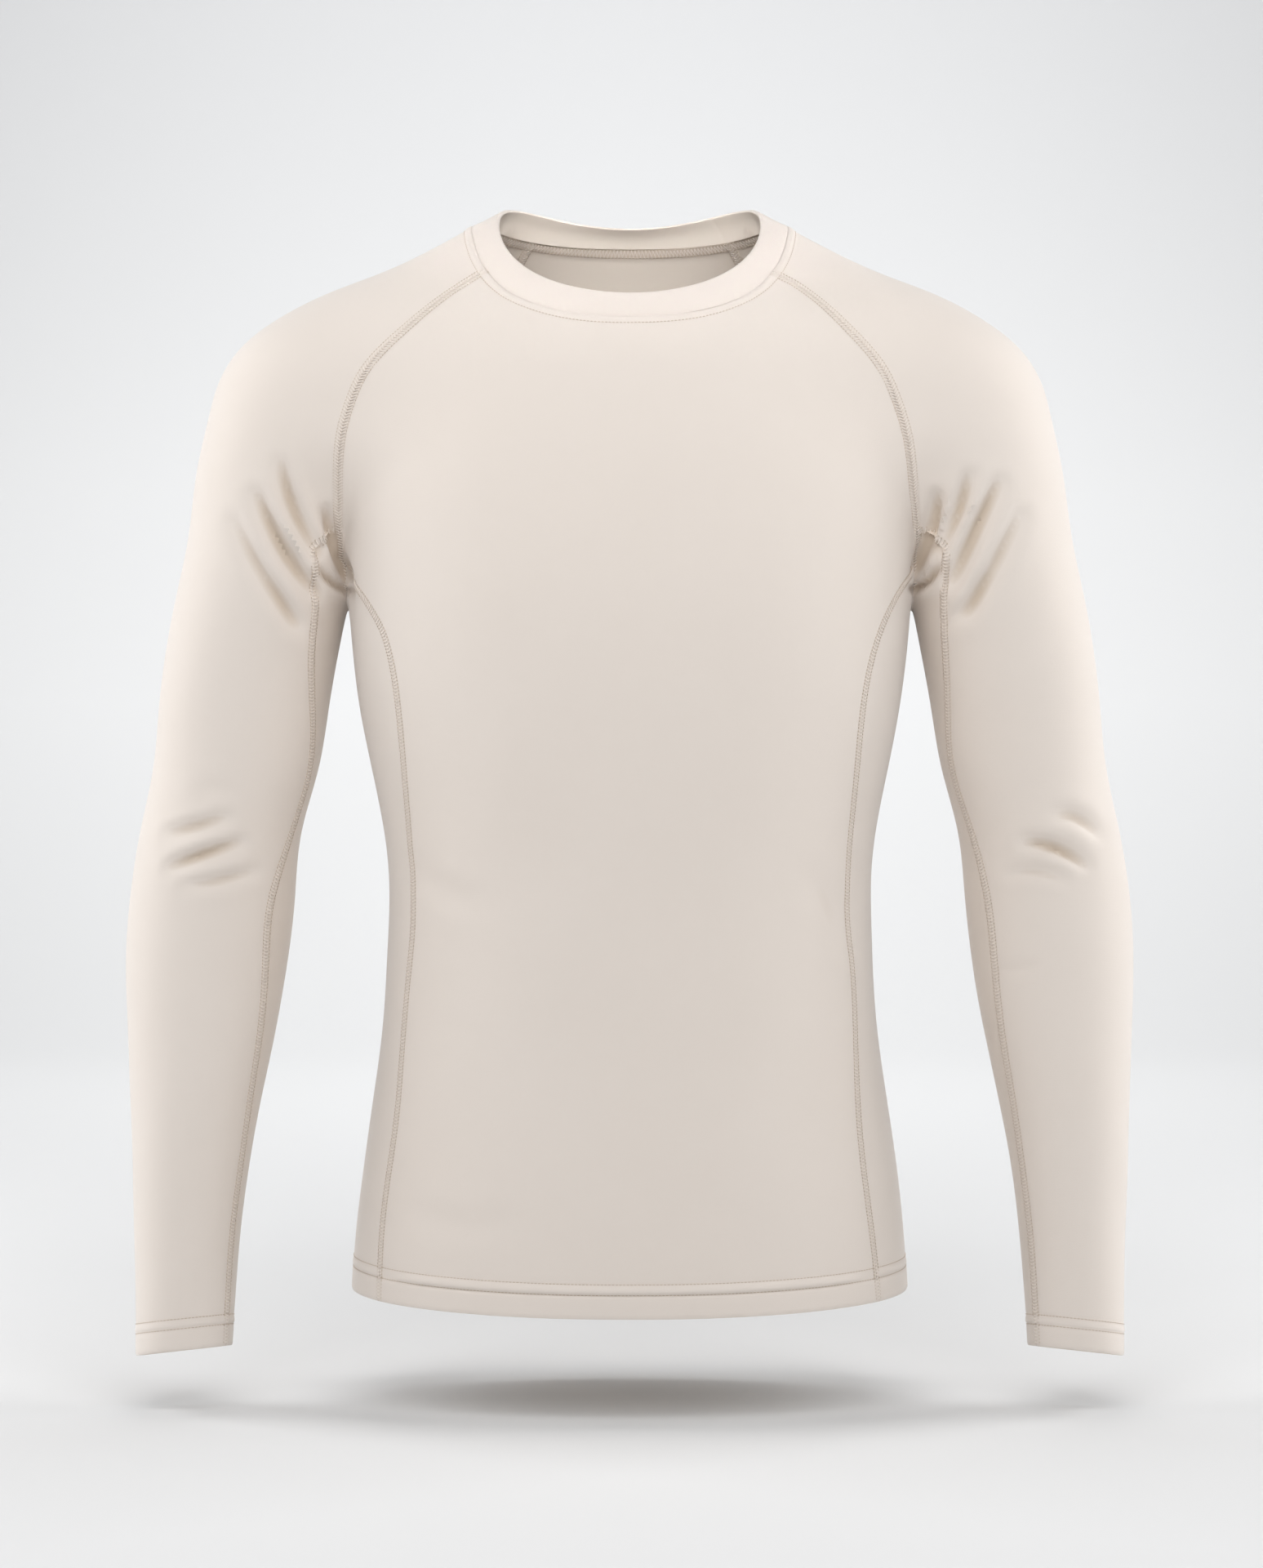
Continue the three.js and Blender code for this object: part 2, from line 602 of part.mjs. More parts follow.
// How far each point of a grid's edge is drawn in, square to its seams, so that neighbours stay apart.
function seamMoves(grid, normals) {
  const rim = rimOf(grid);
  const count = rim.length;
  const squares = rim.map(({ i, k, sewn }, n) => {
    const next = rim[(n + 1) % count];
    const along = grid[next.i][next.k].clone().sub(grid[i][k]);
    const square = normals[i][k].clone().add(normals[next.i][next.k]).cross(along).normalize();
    return { square, sewn };
  });
  const inwards = rim.reduce((sum, { i, k }, n) => {
    const inside = grid[Math.min(Math.max(i, 1), grid.length - 2)][Math.min(Math.max(k, 1), grid[0].length - 2)];
    return sum + squares[n].square.dot(inside.clone().sub(grid[i][k]));
  }, 0);
  const turned = Math.sign(inwards);
  const moves = grid.map((row) => row.map(() => new THREE.Vector3()));
  rim.forEach(({ i, k }, n) => {
    const sides = [squares[(n + count - 1) % count], squares[n]].filter((side) => side.sewn);
    if (sides.length === 0) return;
    const first = sides[0].square;
    const second = sides[sides.length - 1].square;
    const reach = (turned * seamGap) / 2 / Math.max(1 + first.dot(second), 0.25);
    moves[i][k].copy(first).add(second).multiplyScalar(reach);
  });
  return moves;
}

// A closed wall between two grids of points of the same size.
function wallBetween(outer, inner) {
  const rows = outer.length;
  const columns = outer[0].length;
  const points = [...outer.flat(), ...inner.flat()];
  const shift = rows * columns;
  const at = (i, k) => i * columns + k;
  const faces = [];
  const quad = (a, b, c, d) => faces.push(a, b, c, a, c, d);
  for (let i = 0; i < rows - 1; i += 1) {
    for (let k = 0; k < columns - 1; k += 1) {
      const corners = [at(i, k), at(i + 1, k), at(i + 1, k + 1), at(i, k + 1)];
      quad(...corners);
      quad(...corners.map((c) => c + shift).reverse());
    }
  }
  const rim = rimOf(outer).map(({ i, k }) => at(i, k));
  rim.forEach((a, n) => {
    const b = rim[(n + 1) % rim.length];
    if (points[a].z > points[b].z) quad(a, b, b + shift, a + shift);
    else quad(b, b + shift, a + shift, a);
  });
  return solidOf(points, faces);
}

// A geometry from points and faces, turned so that its faces point out.
function solidOf(points, faces) {
  let volume = 0;
  for (let i = 0; i < faces.length; i += 3) {
    const [a, b, c] = [faces[i], faces[i + 1], faces[i + 2]].map((n) => points[n]);
    volume += a.dot(b.clone().cross(c));
  }
  const outwards = volume > 0 ? faces : [...faces].reverse();
  const geometry = new THREE.BufferGeometry().setFromPoints(points);
  geometry.setIndex(outwards);
  geometry.computeVertexNormals();
  return geometry;
}

// A panel's wall: its points on the form, and the same moved in. A turned hem is thicker both ways.
function panelGeometry(grid, hemRows) {
  const normals = grid.map((row) => row.map((p) => slopeOf(form, p).normalize()));
  const moves = seamMoves(grid, normals);
  const firstHemRow = grid.length - hemRows;
  const moved = (depthAt) =>
    grid.map((row, i) =>
      row.map((p, k) => p.clone().add(moves[i][k]).addScaledVector(normals[i][k], depthAt(i >= firstHemRow))),
    );
  const outer = moved((inHem) => (inHem ? hemRise : 0));
  const inner = moved((inHem) => (inHem ? hemRise - hemWall : -clothWall));
  return wallBetween(outer, inner);
}

// The neckband: a folded strip from the neck seam up to its top edge, swept all round.
function neckbandGeometry() {
  const frontTurns = [bodySeams.right.front.neckTurn, bodySeams.left.front.neckTurn];
  const backTurns = [bodySeams.left.back.neckTurn, bodySeams.right.back.neckTurn + 1];
  const turnsBetween = (from, to, count) => Array.from({ length: count }, (_, k) => from + ((to - from) * k) / count);
  const turns = [
    ...turnsBetween(frontTurns[0], frontTurns[1], frontColumns),
    ...turnsBetween(frontTurns[1], backTurns[0], sleeveColumns),
    ...turnsBetween(backTurns[0], backTurns[1], frontColumns),
    ...turnsBetween(backTurns[1], frontTurns[0] + 1, sleeveColumns),
  ];
  const section = turns.map((turn) => bandSection(turn));
  const points = section.flat();
  const size = section[0].length;
  const faces = [];
  turns.forEach((_, i) => {
    const next = (i + 1) % turns.length;
    for (let k = 0; k < size; k += 1) {
      const [a, b] = [i * size + k, i * size + ((k + 1) % size)];
      const [c, d] = [next * size + ((k + 1) % size), next * size + k];
      faces.push(a, b, c, a, c, d);
    }
  });
  return solidOf(points, faces);
}

// The neckband's section at a turn, as a loop: up the outside, over the folded edge, down the inside.
function bandSection(turn) {
  const seam = neckSeamAt(turn);
  const top = neckTopAt(turn);
  const along = neckTopAt(turn + 0.002).sub(neckTopAt(turn - 0.002));
  const seamNormal = slopeOf(form, seam).normalize();
  const rise = top.clone().sub(seam);
  const topNormal = along.clone().cross(rise).normalize();
  if (topNormal.dot(seamNormal) < 0) topNormal.negate();
  const start = seam.clone().addScaledVector(rise.clone().normalize(), seamGap / 2);
  const level = (share) => {
    const normal = seamNormal.clone().lerp(topNormal, share).normalize();
    const p = start.clone().lerp(top, share);
    return { p: p.addScaledVector(normal, bandBulge * Math.sin(Math.PI * share)), normal };
  };
  const outside = [0, 0.3, 0.65, 0.93].map(level);
  const edge = level(1);
  return [
    ...outside.map(({ p, normal }) => p.clone().addScaledVector(normal, 0.2)),
    edge.p.clone().addScaledVector(edge.normal, -bandWall * 0.4),
    ...[0.93, 0.5, 0].map(level).map(({ p, normal }) => p.clone().addScaledVector(normal, 0.2 - bandWall)),
  ];
}

function clothPiece(name, geometry) {
  const material = new THREE.MeshStandardMaterial({ color: clothColour, roughness: 0.85, metalness: 0 });
  const mesh = new THREE.Mesh(geometry, material);
  mesh.name = name;
  return mesh;
}

const top = new THREE.Group();
const hemRows = 2;
top.add(clothPiece("front", panelGeometry(bodyGrid(-1), hemRows)));
top.add(clothPiece("back", panelGeometry(bodyGrid(1), hemRows)));
for (const side of ["right", "left"]) {
  top.add(clothPiece(`side_${side}`, panelGeometry(sideGrid(side), hemRows)));
  top.add(clothPiece(`sleeve_${side}`, panelGeometry(sleeveGrid(side), hemRows)));
  top.add(clothPiece(`under_sleeve_${side}`, panelGeometry(underSleeveGrid(side), hemRows)));
}
top.add(clothPiece("neckband", neckbandGeometry()));

export default top;
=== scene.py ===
# A long-sleeved thermal base layer top with raglan sleeves, filled out as worn, with nobody in it.
# Shapes are worked out in millimetres and go into the meshes in metres. The front faces -Y and the
# wearer's left is +X, so "right" and "left" below are the wearer's.
import math

import bpy
import numpy as np
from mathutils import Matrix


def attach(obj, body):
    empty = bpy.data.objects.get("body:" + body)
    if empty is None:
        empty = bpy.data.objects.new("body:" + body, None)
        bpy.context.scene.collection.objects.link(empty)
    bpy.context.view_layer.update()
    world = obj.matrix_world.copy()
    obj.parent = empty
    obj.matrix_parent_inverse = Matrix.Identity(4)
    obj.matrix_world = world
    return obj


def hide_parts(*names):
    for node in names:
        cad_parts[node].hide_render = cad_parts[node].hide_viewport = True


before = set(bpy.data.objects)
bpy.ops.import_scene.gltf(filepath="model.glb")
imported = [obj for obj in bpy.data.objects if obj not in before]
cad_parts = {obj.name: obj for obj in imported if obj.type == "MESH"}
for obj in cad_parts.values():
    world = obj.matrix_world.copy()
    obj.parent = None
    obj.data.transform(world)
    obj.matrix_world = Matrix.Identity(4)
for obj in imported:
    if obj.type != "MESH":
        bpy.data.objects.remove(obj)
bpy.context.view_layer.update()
print("frame loaded:", len(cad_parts), "nodes")


# Level sections of the body: half the width, and the depth in front of and behind the side line
bodySections = {
    "height": [
        25, 0, -12, -27, -42, -57, -78, -110, -150, -195,
        -235, -300, -350, -400, -450, -500, -550, -600, -664, -700,
    ],
    "halfWidth": [
        74, 100, 121, 150, 178, 190, 196, 189, 183, 178,
        175, 168, 158, 150.5, 151, 154.5, 161, 168, 173, 174,
    ],
    "front": [
        14, 28, 38, 50, 63, 79, 94, 107, 117, 123,
        125, 122, 117, 112, 109, 108, 109, 111, 112, 112,
    ],
    "back": [
        50, 70, 78, 88, 96, 102, 108, 115, 119, 120,
        118, 110, 103, 97, 95, 98, 103, 108, 111, 111,
    ],
}
# Level sections of the sleeve: ellipses about a centre line that bends at the elbow
sleeveSections = {
    "height": [
        -60, -112, -153, -194, -235, -296, -337, -377, -418,
        -459, -500, -541, -581, -622, -663, -701, -720,
    ],
    "centreX": [
        196, 205, 214.5, 222, 230.5, 241, 246.3, 255.7, 260.7,
        263.8, 266, 269, 271.3, 272.7, 273.3, 273.8, 273.8,
    ],
    "centreY": [2, 2, 2, 3, 4, 5, 5, 4, 1, -4, -11, -18, -25, -31, -37, -42, -44],
    "halfWidth": [55, 56, 56, 54, 54, 53, 51.5, 50.2, 51.2, 50, 45.7, 40.5, 36, 32.5, 30.4, 28.8, 28.5],
    "halfDepth": [56, 59, 60, 59.5, 58, 54, 51.5, 50.5, 50.5, 49, 46, 42, 38, 35, 32.5, 31, 31],
}
shape = {
    "shoulderTop": -114, "shoulderRise": 55, "shoulderPower": 2.4,  # the sleeve's dome
    "armpitSoftness": 7, "shoulderSoftness": 95,  # how far body and sleeve melt together
    "hemHeight": -666, "hemSweep": 6, "cuffHeight": -694.5, "cuffTiltX": -0.11, "cuffTiltY": -0.14,
    "gussetHeight": -191, "armpitHeight": -215, "armpitOut": 174.5, "armpitAhead": 27, "crotchHeight": -236,
    "rowRise": 14,
}
# Seams by distance from the middle, on the wearer's right and left, as worn
raglanFront = {
    "height": [-32, -45, -70, -94, -110, -137, -165, -191, -215],
    "right": [88, 107, 136, 159.5, 168, 176, 178.3, 178.3, 174.5],
    "left": [87, 106, 132, 152.5, 160.5, 169, 173, 176, 174.5],
}
raglanBack = {
    "height": [2, -16, -45, -75, -105, -145, -191, -215],
    "right": [62, 73, 94, 116, 137, 160, 175.5, 174.5],
    "left": [62, 73, 94, 116, 137, 160, 175.5, 174.5],
}
sideSeam = {
    "height": [-215, -236, -252, -268, -300, -341, -387, -421, -465, -510, -549, -589, -632, -670],
    "right": [174.5, 160.5, 151, 145.5, 140.2, 137, 133.5, 131.5, 135, 139, 142, 147.5, 151.5, 152.4],
    "left": [174.5, 160.5, 153, 147.5, 141, 137.5, 133.5, 132, 136, 137.5, 138.8, 143, 148, 151.3],
}
# Seams of the sleeve's under panel, in degrees round from the side next to the body
underSeam = {
    "height": [-191, -199, -215, -235, -262, -300, -340, -375, -415, -460, -520, -600, -660, -720],
    "frontRight": [38, 52, 53, 47, 42.5, 32, 22, 24, 39, 38, 31, 26, 26, 22],
    "frontLeft": [38, 52, 53, 46, 39.5, 32, 25, 28, 38, 38.5, 34, 31, 31, 27],
    "back": [40, 50, 52, 50, 46, 42, 40, 39, 38, 37, 36, 34, 32, 32],
}
neckSeam = {
    "halfWidth": 97.5, "front": 85.5, "back": 70, "power": 2.4,
    "waves": [-18.96, -34.09, -17.63, 3.02, 2.18],
}
neckTop = {
    "halfWidth": 81.5, "front": 76.5, "back": 62, "power": 2.3,
    "waves": [-8.26, -32.03, -12.44, 2.68, 0.58],
}
shoulderEdge = {"inner": 104, "outer": 272, "innerZ": -4, "outerZ": -177}


# A smooth step from 0 to 1 as value goes from start to end: 3t^2 - 2t^3
def ramp(start, end, value):
    t = np.clip((value - start) / (end - start), 0, 1)
    return t * t * (3 - 2 * t)


# A natural cubic spline (no bend at either end) through a table's column, read by height.
# The bends come from the usual three-term equations; the curve is then kept every 0.25 mm.
def splineOf(table, column):
    order = np.argsort(table["height"])
    z, v = np.array(table["height"], float)[order], np.array(table[column], float)[order]
    gap, rise = np.diff(z), np.diff(v) / np.diff(z)
    system = np.eye(len(z))
    right = np.zeros(len(z))
    inner = np.arange(1, len(z) - 1)
    system[inner, inner - 1], system[inner, inner + 1] = gap[:-1], gap[1:]
    system[inner, inner] = 2 * (gap[:-1] + gap[1:])
    right[1:-1] = 6 * (rise[1:] - rise[:-1])
    bend = np.linalg.solve(system, right)
    at = np.arange(z[0], z[-1], 0.25)
    i = np.clip(np.searchsorted(z, at, "right") - 1, 0, len(gap) - 1)
    a, b = (z[i + 1] - at) / gap[i], (at - z[i]) / gap[i]
    curve = a * v[i] + b * v[i + 1] + ((a**3 - a) * bend[i] + (b**3 - b) * bend[i + 1]) * gap[i] ** 2 / 6
    return lambda height: np.interp(height, at, curve)


def splinesOf(table):
    return {column: splineOf(table, column) for column in table if column != "height"}


body, sleeve = splinesOf(bodySections), splinesOf(sleeveSections)
seamTables = {"front": raglanFront, "back": raglanBack, "side": sideSeam, "under": underSeam}
seamLines = {name: splinesOf(table) for name, table in seamTables.items()}


# How far points are outside the body: a level section is |x/w|^p + |y/d|^p = 1, and distance is
# measured from the middle line
def bodyField(p):
    x, y, z = p[..., 0], p[..., 1], p[..., 2]
    depth = np.where(y < 0, body["front"](z), body["back"](z))
    power = 2 + 0.3 * ramp(-90, -200, z)
    share = ((np.abs(x) / body["halfWidth"](z)) ** power + (np.abs(y) / depth) ** power) ** (1 / power)
    return np.hypot(x, y) * (1 - 1 / np.maximum(share, 1e-6))


# The same for the sleeve: an ellipse about its centre line, closed above by a dome
def sleeveField(p):
    z = p[..., 2]
    x, y = np.abs(p[..., 0]) - sleeve["centreX"](z), p[..., 1] - sleeve["centreY"](z)
    up = np.maximum(z - shape["shoulderTop"], 0)
    level = (x / sleeve["halfWidth"](z)) ** 2 + (y / sleeve["halfDepth"](z)) ** 2
    share = np.sqrt(level + (up / shape["shoulderRise"]) ** shape["shoulderPower"])
    return np.sqrt(x * x + y * y + up * up) * (1 - 1 / np.maximum(share, 1e-6))


# Body and sleeve melted together: the lesser of the two, less a cubic where they are nearly equal
def form(p):
    torso, arm = bodyField(p), sleeveField(p)
    low, high = shape["armpitSoftness"], shape["shoulderSoftness"]
    softness = low + (high - low) * ramp(-212, -125, p[..., 2])
    melt = np.maximum(softness - np.abs(torso - arm), 0) / softness
    return np.minimum(torso, arm) - melt**3 * softness / 6


def slopeOf(field, p, step=0.4):
    slope = np.empty(p.shape)
    for axis in range(3):
        shift = np.zeros(3)
        shift[axis] = step
        slope[..., axis] = (field(p + shift) - field(p - shift)) / (2 * step)
    return slope


def unit(v):
    return v / np.maximum(np.linalg.norm(v, axis=-1, keepdims=True), 1e-9)


# Moves points straight onto a field's surface, in a few steps
def settle(p, field=form, rounds=7):
    for _ in range(rounds):
        slope = slopeOf(field, p)
        step = slope * (-field(p) / np.maximum((slope**2).sum(-1), 1e-6))[..., None]
        p = p + step * np.minimum(1, 12 / np.maximum(np.linalg.norm(step, axis=-1, keepdims=True), 1e-9))
    return p


# Moves points into the groove between body and sleeve
def settleInGroove(p):
    for _ in range(8):
        p = settle(p, lambda q: bodyField(q) - sleeveField(q), 3)
        p = settle(p, form, 3)
    return p


# The points on the form that are seen at x and z from the front (face -1) or the back (face 1)
def seenAt(x, z, face):
    x, z = np.broadcast_arrays(np.asarray(x, float), np.asarray(z, float))
    depths = np.arange(170.0, -1, -2)
    probe = np.stack(np.broadcast_arrays(x[:, None], face * depths, z[:, None]), -1)
    inside = depths[np.argmax(form(probe) <= 0, axis=1)]
    outside = inside + 2
    for _ in range(24):
        middle = (inside + outside) / 2
        isOut = form(np.stack([x, face * middle, z], -1)) > 0
        outside, inside = np.where(isOut, middle, outside), np.where(isOut, inside, middle)
    return np.stack([x, face * inside, z], -1)


# Distance along a line of points, from its start
def runOf(points):
    return np.concatenate([[0], np.cumsum(np.linalg.norm(np.diff(points, axis=0), axis=1))])


# A line of points divided again at shares of its length, from 0 to 1
def divided(points, shares):
    run = runOf(points)
    return np.stack([np.interp(np.asarray(shares) * run[-1], run, points[:, k]) for k in range(3)], -1)


# Rows of points on the arcs from a by way of b to c. Shares go from 0 at a to 1 at c.
def arcRows(a, b, c, shares):
    ab, ac = b - a, c - a
    normal = np.cross(ab, ac)
    square = lambda v: (v**2).sum(-1, keepdims=True)
    centre = np.cross(normal, ab) * square(ac) + np.cross(ac, normal) * square(ab)
    centre = a + centre / (2 * square(normal))
    u = a - centre
    w = np.cross(unit(normal), u)
    end = c - centre
    whole = np.arctan2((end * w).sum(-1), (end * u).sum(-1)) % (2 * np.pi)
    angle = (whole[:, None] * shares)[..., None]
    return centre[:, None] + u[:, None] * np.cos(angle) + w[:, None] * np.sin(angle)


# A loop round the neck: a superellipse seen from above, lifted by cosine waves. Turn 0 is at the front.
def neckLoop(loop, turn):
    angle = 2 * np.pi * np.asarray(turn, float)
    across, ahead = np.sin(angle), np.cos(angle)
    size = (np.abs(across) ** loop["power"] + np.abs(ahead) ** loop["power"]) ** (-1 / loop["power"])
    y = -ahead * size * np.where(ahead > 0, loop["front"], loop["back"])
    z = sum(wave * np.cos(n * angle) for n, wave in enumerate(loop["waves"]))
    return np.stack([across * size * loop["halfWidth"], y, z], -1)


def neckSeamAt(turn):
    return settle(neckLoop(neckSeam, turn))


# A level that rises near the hem towards the sides, and one that tilts with the sleeve near the cuff
def hemmed(z, x):
    aside = np.abs(x) / body["halfWidth"](z)
    return z + ramp(-560, shape["hemHeight"], z) * shape["hemSweep"] * aside**2.5


def tilted(z, x, y):
    aside, ahead = np.abs(x) - sleeve["centreX"](z), y - sleeve["centreY"](z)
    tilt = shape["cuffTiltX"] * aside + shape["cuffTiltY"] * ahead
    return z + ramp(-560, shape["cuffHeight"], z) * tilt


# Row and column spacing in millimetres: close beside a seam, then even
weave = {
    "cell": 3.3,
    "besideSeam": [0, 0.5, 1.2, 2.7, 3.4, 4.6, 6.6], "besideNeck": [0, 0.5, 1.2, 2.7, 3.4, 4.6, 6.6, 8.8],
    "besideJoin": [0, 2.5],
    "besideHem": [0, 0.4, 1.2, 3, 6, 9, 11.5, 13.2, 14.2, 15.0, 16.0, 17.2, 18.4, 19.6, 20.8, 22, 24],
}


# Shares of a length: beside its start and its end as given in millimetres, and even between
def sharesOf(length, start, end):
    start, end = np.array(start, float), np.array(end, float)
    count = max(int(round((length - start[-1] - end[-1]) / weave["cell"])), 2)
    even = np.linspace(start[-1], length - end[-1], count + 1)[1:-1]
    return np.concatenate([start, even, (length - end)[::-1]]) / length


# The same for many rows at once, all with as many places as the widest one has
def sharesAcross(lengths):
    near = np.array(weave["besideSeam"], float)
    count = max(int(round((lengths.max() - 2 * near[-1]) / weave["cell"])), 2)
    left = near * (np.minimum(1, 0.4 * lengths / near[-1]) / lengths)[:, None]
    even = np.linspace(0, 1, count + 1)[1:-1]
    middle = left[:, -1:] + (1 - 2 * left[:, -1:]) * even
    return np.concatenate([left, middle, 1 - left[:, ::-1]], 1)


# Rows from one edge to the other by way of a middle line, and the shares of their lengths
def spannedRows(edges, middle):
    first, last = edges
    lengths = 1.1 * (np.linalg.norm(middle - first, axis=-1) + np.linalg.norm(last - middle, axis=-1))
    shares = sharesAcross(lengths)
    return arcRows(first, middle, last, shares), shares


# All seams of one side, as fine lines on the form
def seamsOf(side):
    sign = 1 if side == "left" else -1
    made = {}
    for face, name in ((-1, "front"), (1, "back")):
        table = raglanFront if face < 0 else raglanBack
        turns = np.linspace(0, 0.25, 200) if face < 0 else np.linspace(0.5, 0.25, 200)
        neckTurn = sign * np.interp(table[side][0], neckSeamAt(turns)[:, 0], turns)
        heights = np.linspace(table["height"][0] - 8, shape["gussetHeight"], 120)
        upper = seenAt(sign * seamLines[name][side](heights), heights, face)
        neckPoint = neckSeamAt(np.array([neckTurn]))
        armpit = np.array([[sign * shape["armpitOut"], face * shape["armpitAhead"], shape["armpitHeight"]]])
        armpit = settleInGroove(armpit)
        gusset = settle(upper[-1] + (armpit - upper[-1]) * np.linspace(0, 1, 14)[:, None])
        levels = np.linspace(shape["armpitHeight"] - 9, shape["hemHeight"], 160)
        below = seenAt(sign * seamLines["side"][side](levels), levels, face)
        column = "back" if face > 0 else "frontLeft" if side == "left" else "frontRight"
        raglan = np.concatenate([neckPoint, upper])
        made[name] = {
            "turn": neckTurn, "armpit": armpit[0], "gusset": gusset, "column": column, "raglan": raglan,
            "yoke": np.concatenate([raglan, gusset[1:]]), "side": np.concatenate([armpit, below]),
            "face": face, "sign": sign,
        }
    front, back = made["front"]["armpit"], made["back"]["armpit"]
    y = np.linspace(front[1], back[1], 25)
    share = (y - (front[1] + back[1]) / 2) / ((back[1] - front[1]) / 2)
    z = shape["crotchHeight"] + (shape["armpitHeight"] - shape["crotchHeight"]) * share**2
    made["underarm"] = settleInGroove(np.stack([np.full(y.shape, sign * shape["armpitOut"]), y, z], -1))
    made["underarm"][0], made["underarm"][-1] = front, back
    made["sign"] = sign
    return made


# The seam between the sleeve and its under panel, at levels; its top is drawn to the gusset's point
def underSeamAt(line, z):
    angle = np.radians(seamLines["under"][line["column"]](z))
    x = sleeve["centreX"](z) - sleeve["halfWidth"](z) * np.cos(angle)
    y = sleeve["centreY"](z) + line["face"] * sleeve["halfDepth"](z) * np.sin(angle)
    return settle(settle(np.stack([line["sign"] * x, y, tilted(z, x, y)], -1), sleeveField))


def underEdge(line, heights):
    p = underSeamAt(line, heights)
    top = shape["gussetHeight"]
    pull = line["gusset"][0] - underSeamAt(line, np.array([top]))[0]
    return settle(p + pull * (ramp(top - 22, top, heights) ** 1.5)[:, None])


# The side seam of the front or the back, at levels
def sideEdge(line, levels):
    x = np.interp(-levels, -line["side"][:, 2], line["side"][:, 0])
    return seenAt(x, hemmed(levels, x), line["face"])


# Draws the first rows of a grid to its true top edge, less with each row, and sets its side edges
def drawnTo(grid, topEdge, sides, weights, fields):
    grid = grid + (topEdge - grid[0]) * weights[:, None, None]
    first = grid[0].copy()
    for field in fields:
        grid = settle(grid, field)
    grid[0] = first
    grid[:, 0], grid[:, -1] = sides
    return grid


# The front or back panel: rows from the right edge to the left one by way of the middle line
def bodyGrid(name):
    right, left = seams["right"][name], seams["left"][name]
    atBack = name == "back"
    shares = sharesOf(runOf(right["yoke"])[-1], weave["besideNeck"], weave["besideJoin"])
    top, bottom = shape["armpitHeight"], shape["hemHeight"]
    levels = (top + (bottom - top) * sharesOf(top - bottom, weave["besideJoin"], weave["besideHem"]))[1:]
    edges = [
        np.concatenate([divided(line["yoke"], shares), sideEdge(line, levels)]) for line in (right, left)
    ]
    neckMiddle = neckSeamAt(np.array([0.5 if atBack else 0]))[0]
    heights = np.concatenate([neckMiddle[2] + (top - neckMiddle[2]) * shares, levels])
    grid, across = spannedRows(edges, seenAt(np.zeros(len(heights)), heights, right["face"]))
    start = right["turn"] + atBack
    neck = neckSeamAt(start + (left["turn"] - start) * across[0])
    weights = np.concatenate([(1 - shares) ** 3, 0 * levels])
    return drawnTo(grid, neck, edges, weights, (bodyField, form))


def partsOf(side):
    return [seams[side][key] for key in ("front", "back", "underarm", "sign")]


# A side panel: rows from the front side seam to the back one, under the arm
def sideGrid(side):
    front, back, underarm, sign = partsOf(side)
    top, bottom = shape["armpitHeight"], shape["hemHeight"]
    levels = top + (bottom - top) * sharesOf(top - bottom, weave["besideSeam"], weave["besideHem"])
    edges = [sideEdge(line, levels) for line in (front, back)]
    edges[0][0], edges[1][0] = front["armpit"], back["armpit"]
    deep = levels + (shape["crotchHeight"] - top) * np.maximum(0, 1 - (top - levels) / 150) ** 1.5
    x = body["halfWidth"](deep)
    middle = settle(np.stack([sign * x, 0 * x, hemmed(deep, x)], -1), bodyField)
    middle[0] = underarm[len(underarm) // 2]
    grid, across = spannedRows(edges, middle)
    weights = np.maximum(0, 1 - (top - levels) / 70) ** 2
    return drawnTo(grid, divided(underarm, across[0]), edges, weights, (bodyField, form))


def sleeveLevels(start):
    top, bottom = shape["gussetHeight"], shape["cuffHeight"]
    return top + (bottom - top) * sharesOf(top - bottom, start, weave["besideHem"])


# The sleeve: rows from the front seam over the shoulder, or round the arm, to the back seam
def sleeveGrid(side):
    front, back, _, sign = partsOf(side)
    shares = sharesOf(runOf(front["raglan"])[-1], weave["besideNeck"], weave["besideJoin"])
    quarter = np.linspace(0, np.pi / 2, 120)
    edge = shoulderEdge
    x = edge["inner"] + (edge["outer"] - edge["inner"]) * np.sin(quarter) ** 0.92
    z = edge["innerZ"] + (edge["outerZ"] - edge["innerZ"]) * (1 - np.cos(quarter)) ** 1.05
    shoulder = settle(np.stack([sign * x, 0 * x, z], -1))
    shoulder = np.concatenate([neckSeamAt(np.array([sign * 0.25])), shoulder[1:]])
    levels = sleeveLevels(weave["besideJoin"])[1:]
    x = sleeve["centreX"](levels) + sleeve["halfWidth"](levels)
    y = sleeve["centreY"](levels)
    rise = shape["rowRise"] * ramp(-330, shape["gussetHeight"], levels)
    outer = np.stack([sign * x, y, tilted(levels, x, y) + rise], -1)
    middle = np.concatenate([divided(shoulder, shares), settle(outer, sleeveField)])
    edges = [
        np.concatenate([divided(line["raglan"], shares), underEdge(line, levels)]) for line in (front, back)
    ]
    grid, across = spannedRows(edges, middle)
    neck = neckSeamAt(front["turn"] + (back["turn"] - front["turn"]) * across[0])
    weights = np.concatenate([(1 - shares) ** 3, 0 * levels])
    grid = drawnTo(grid, neck, edges, weights, (form,))
    low = len(shares)
    grid[low:, 1:-1] = settle(settle(grid[low:, 1:-1], sleeveField))
    # the two stretches of levels meet here: each point moves to the middle of its neighbours
    patch = grid[low - 12 : low + 12]
    step = np.diff(across[low - 12 : low + 12], axis=1)[1:-1, :, None]
    before, after = step[:, :-1], step[:, 1:]
    for _ in range(60):
        between = (patch[1:-1, :-2] * after + patch[1:-1, 2:] * before) / (after + before)
        patch[1:-1, 1:-1] = (patch[:-2, 1:-1] + patch[2:, 1:-1] + 2 * between) / 4
    patch[:, 1:-1] = settle(patch)[:, 1:-1]
    return grid


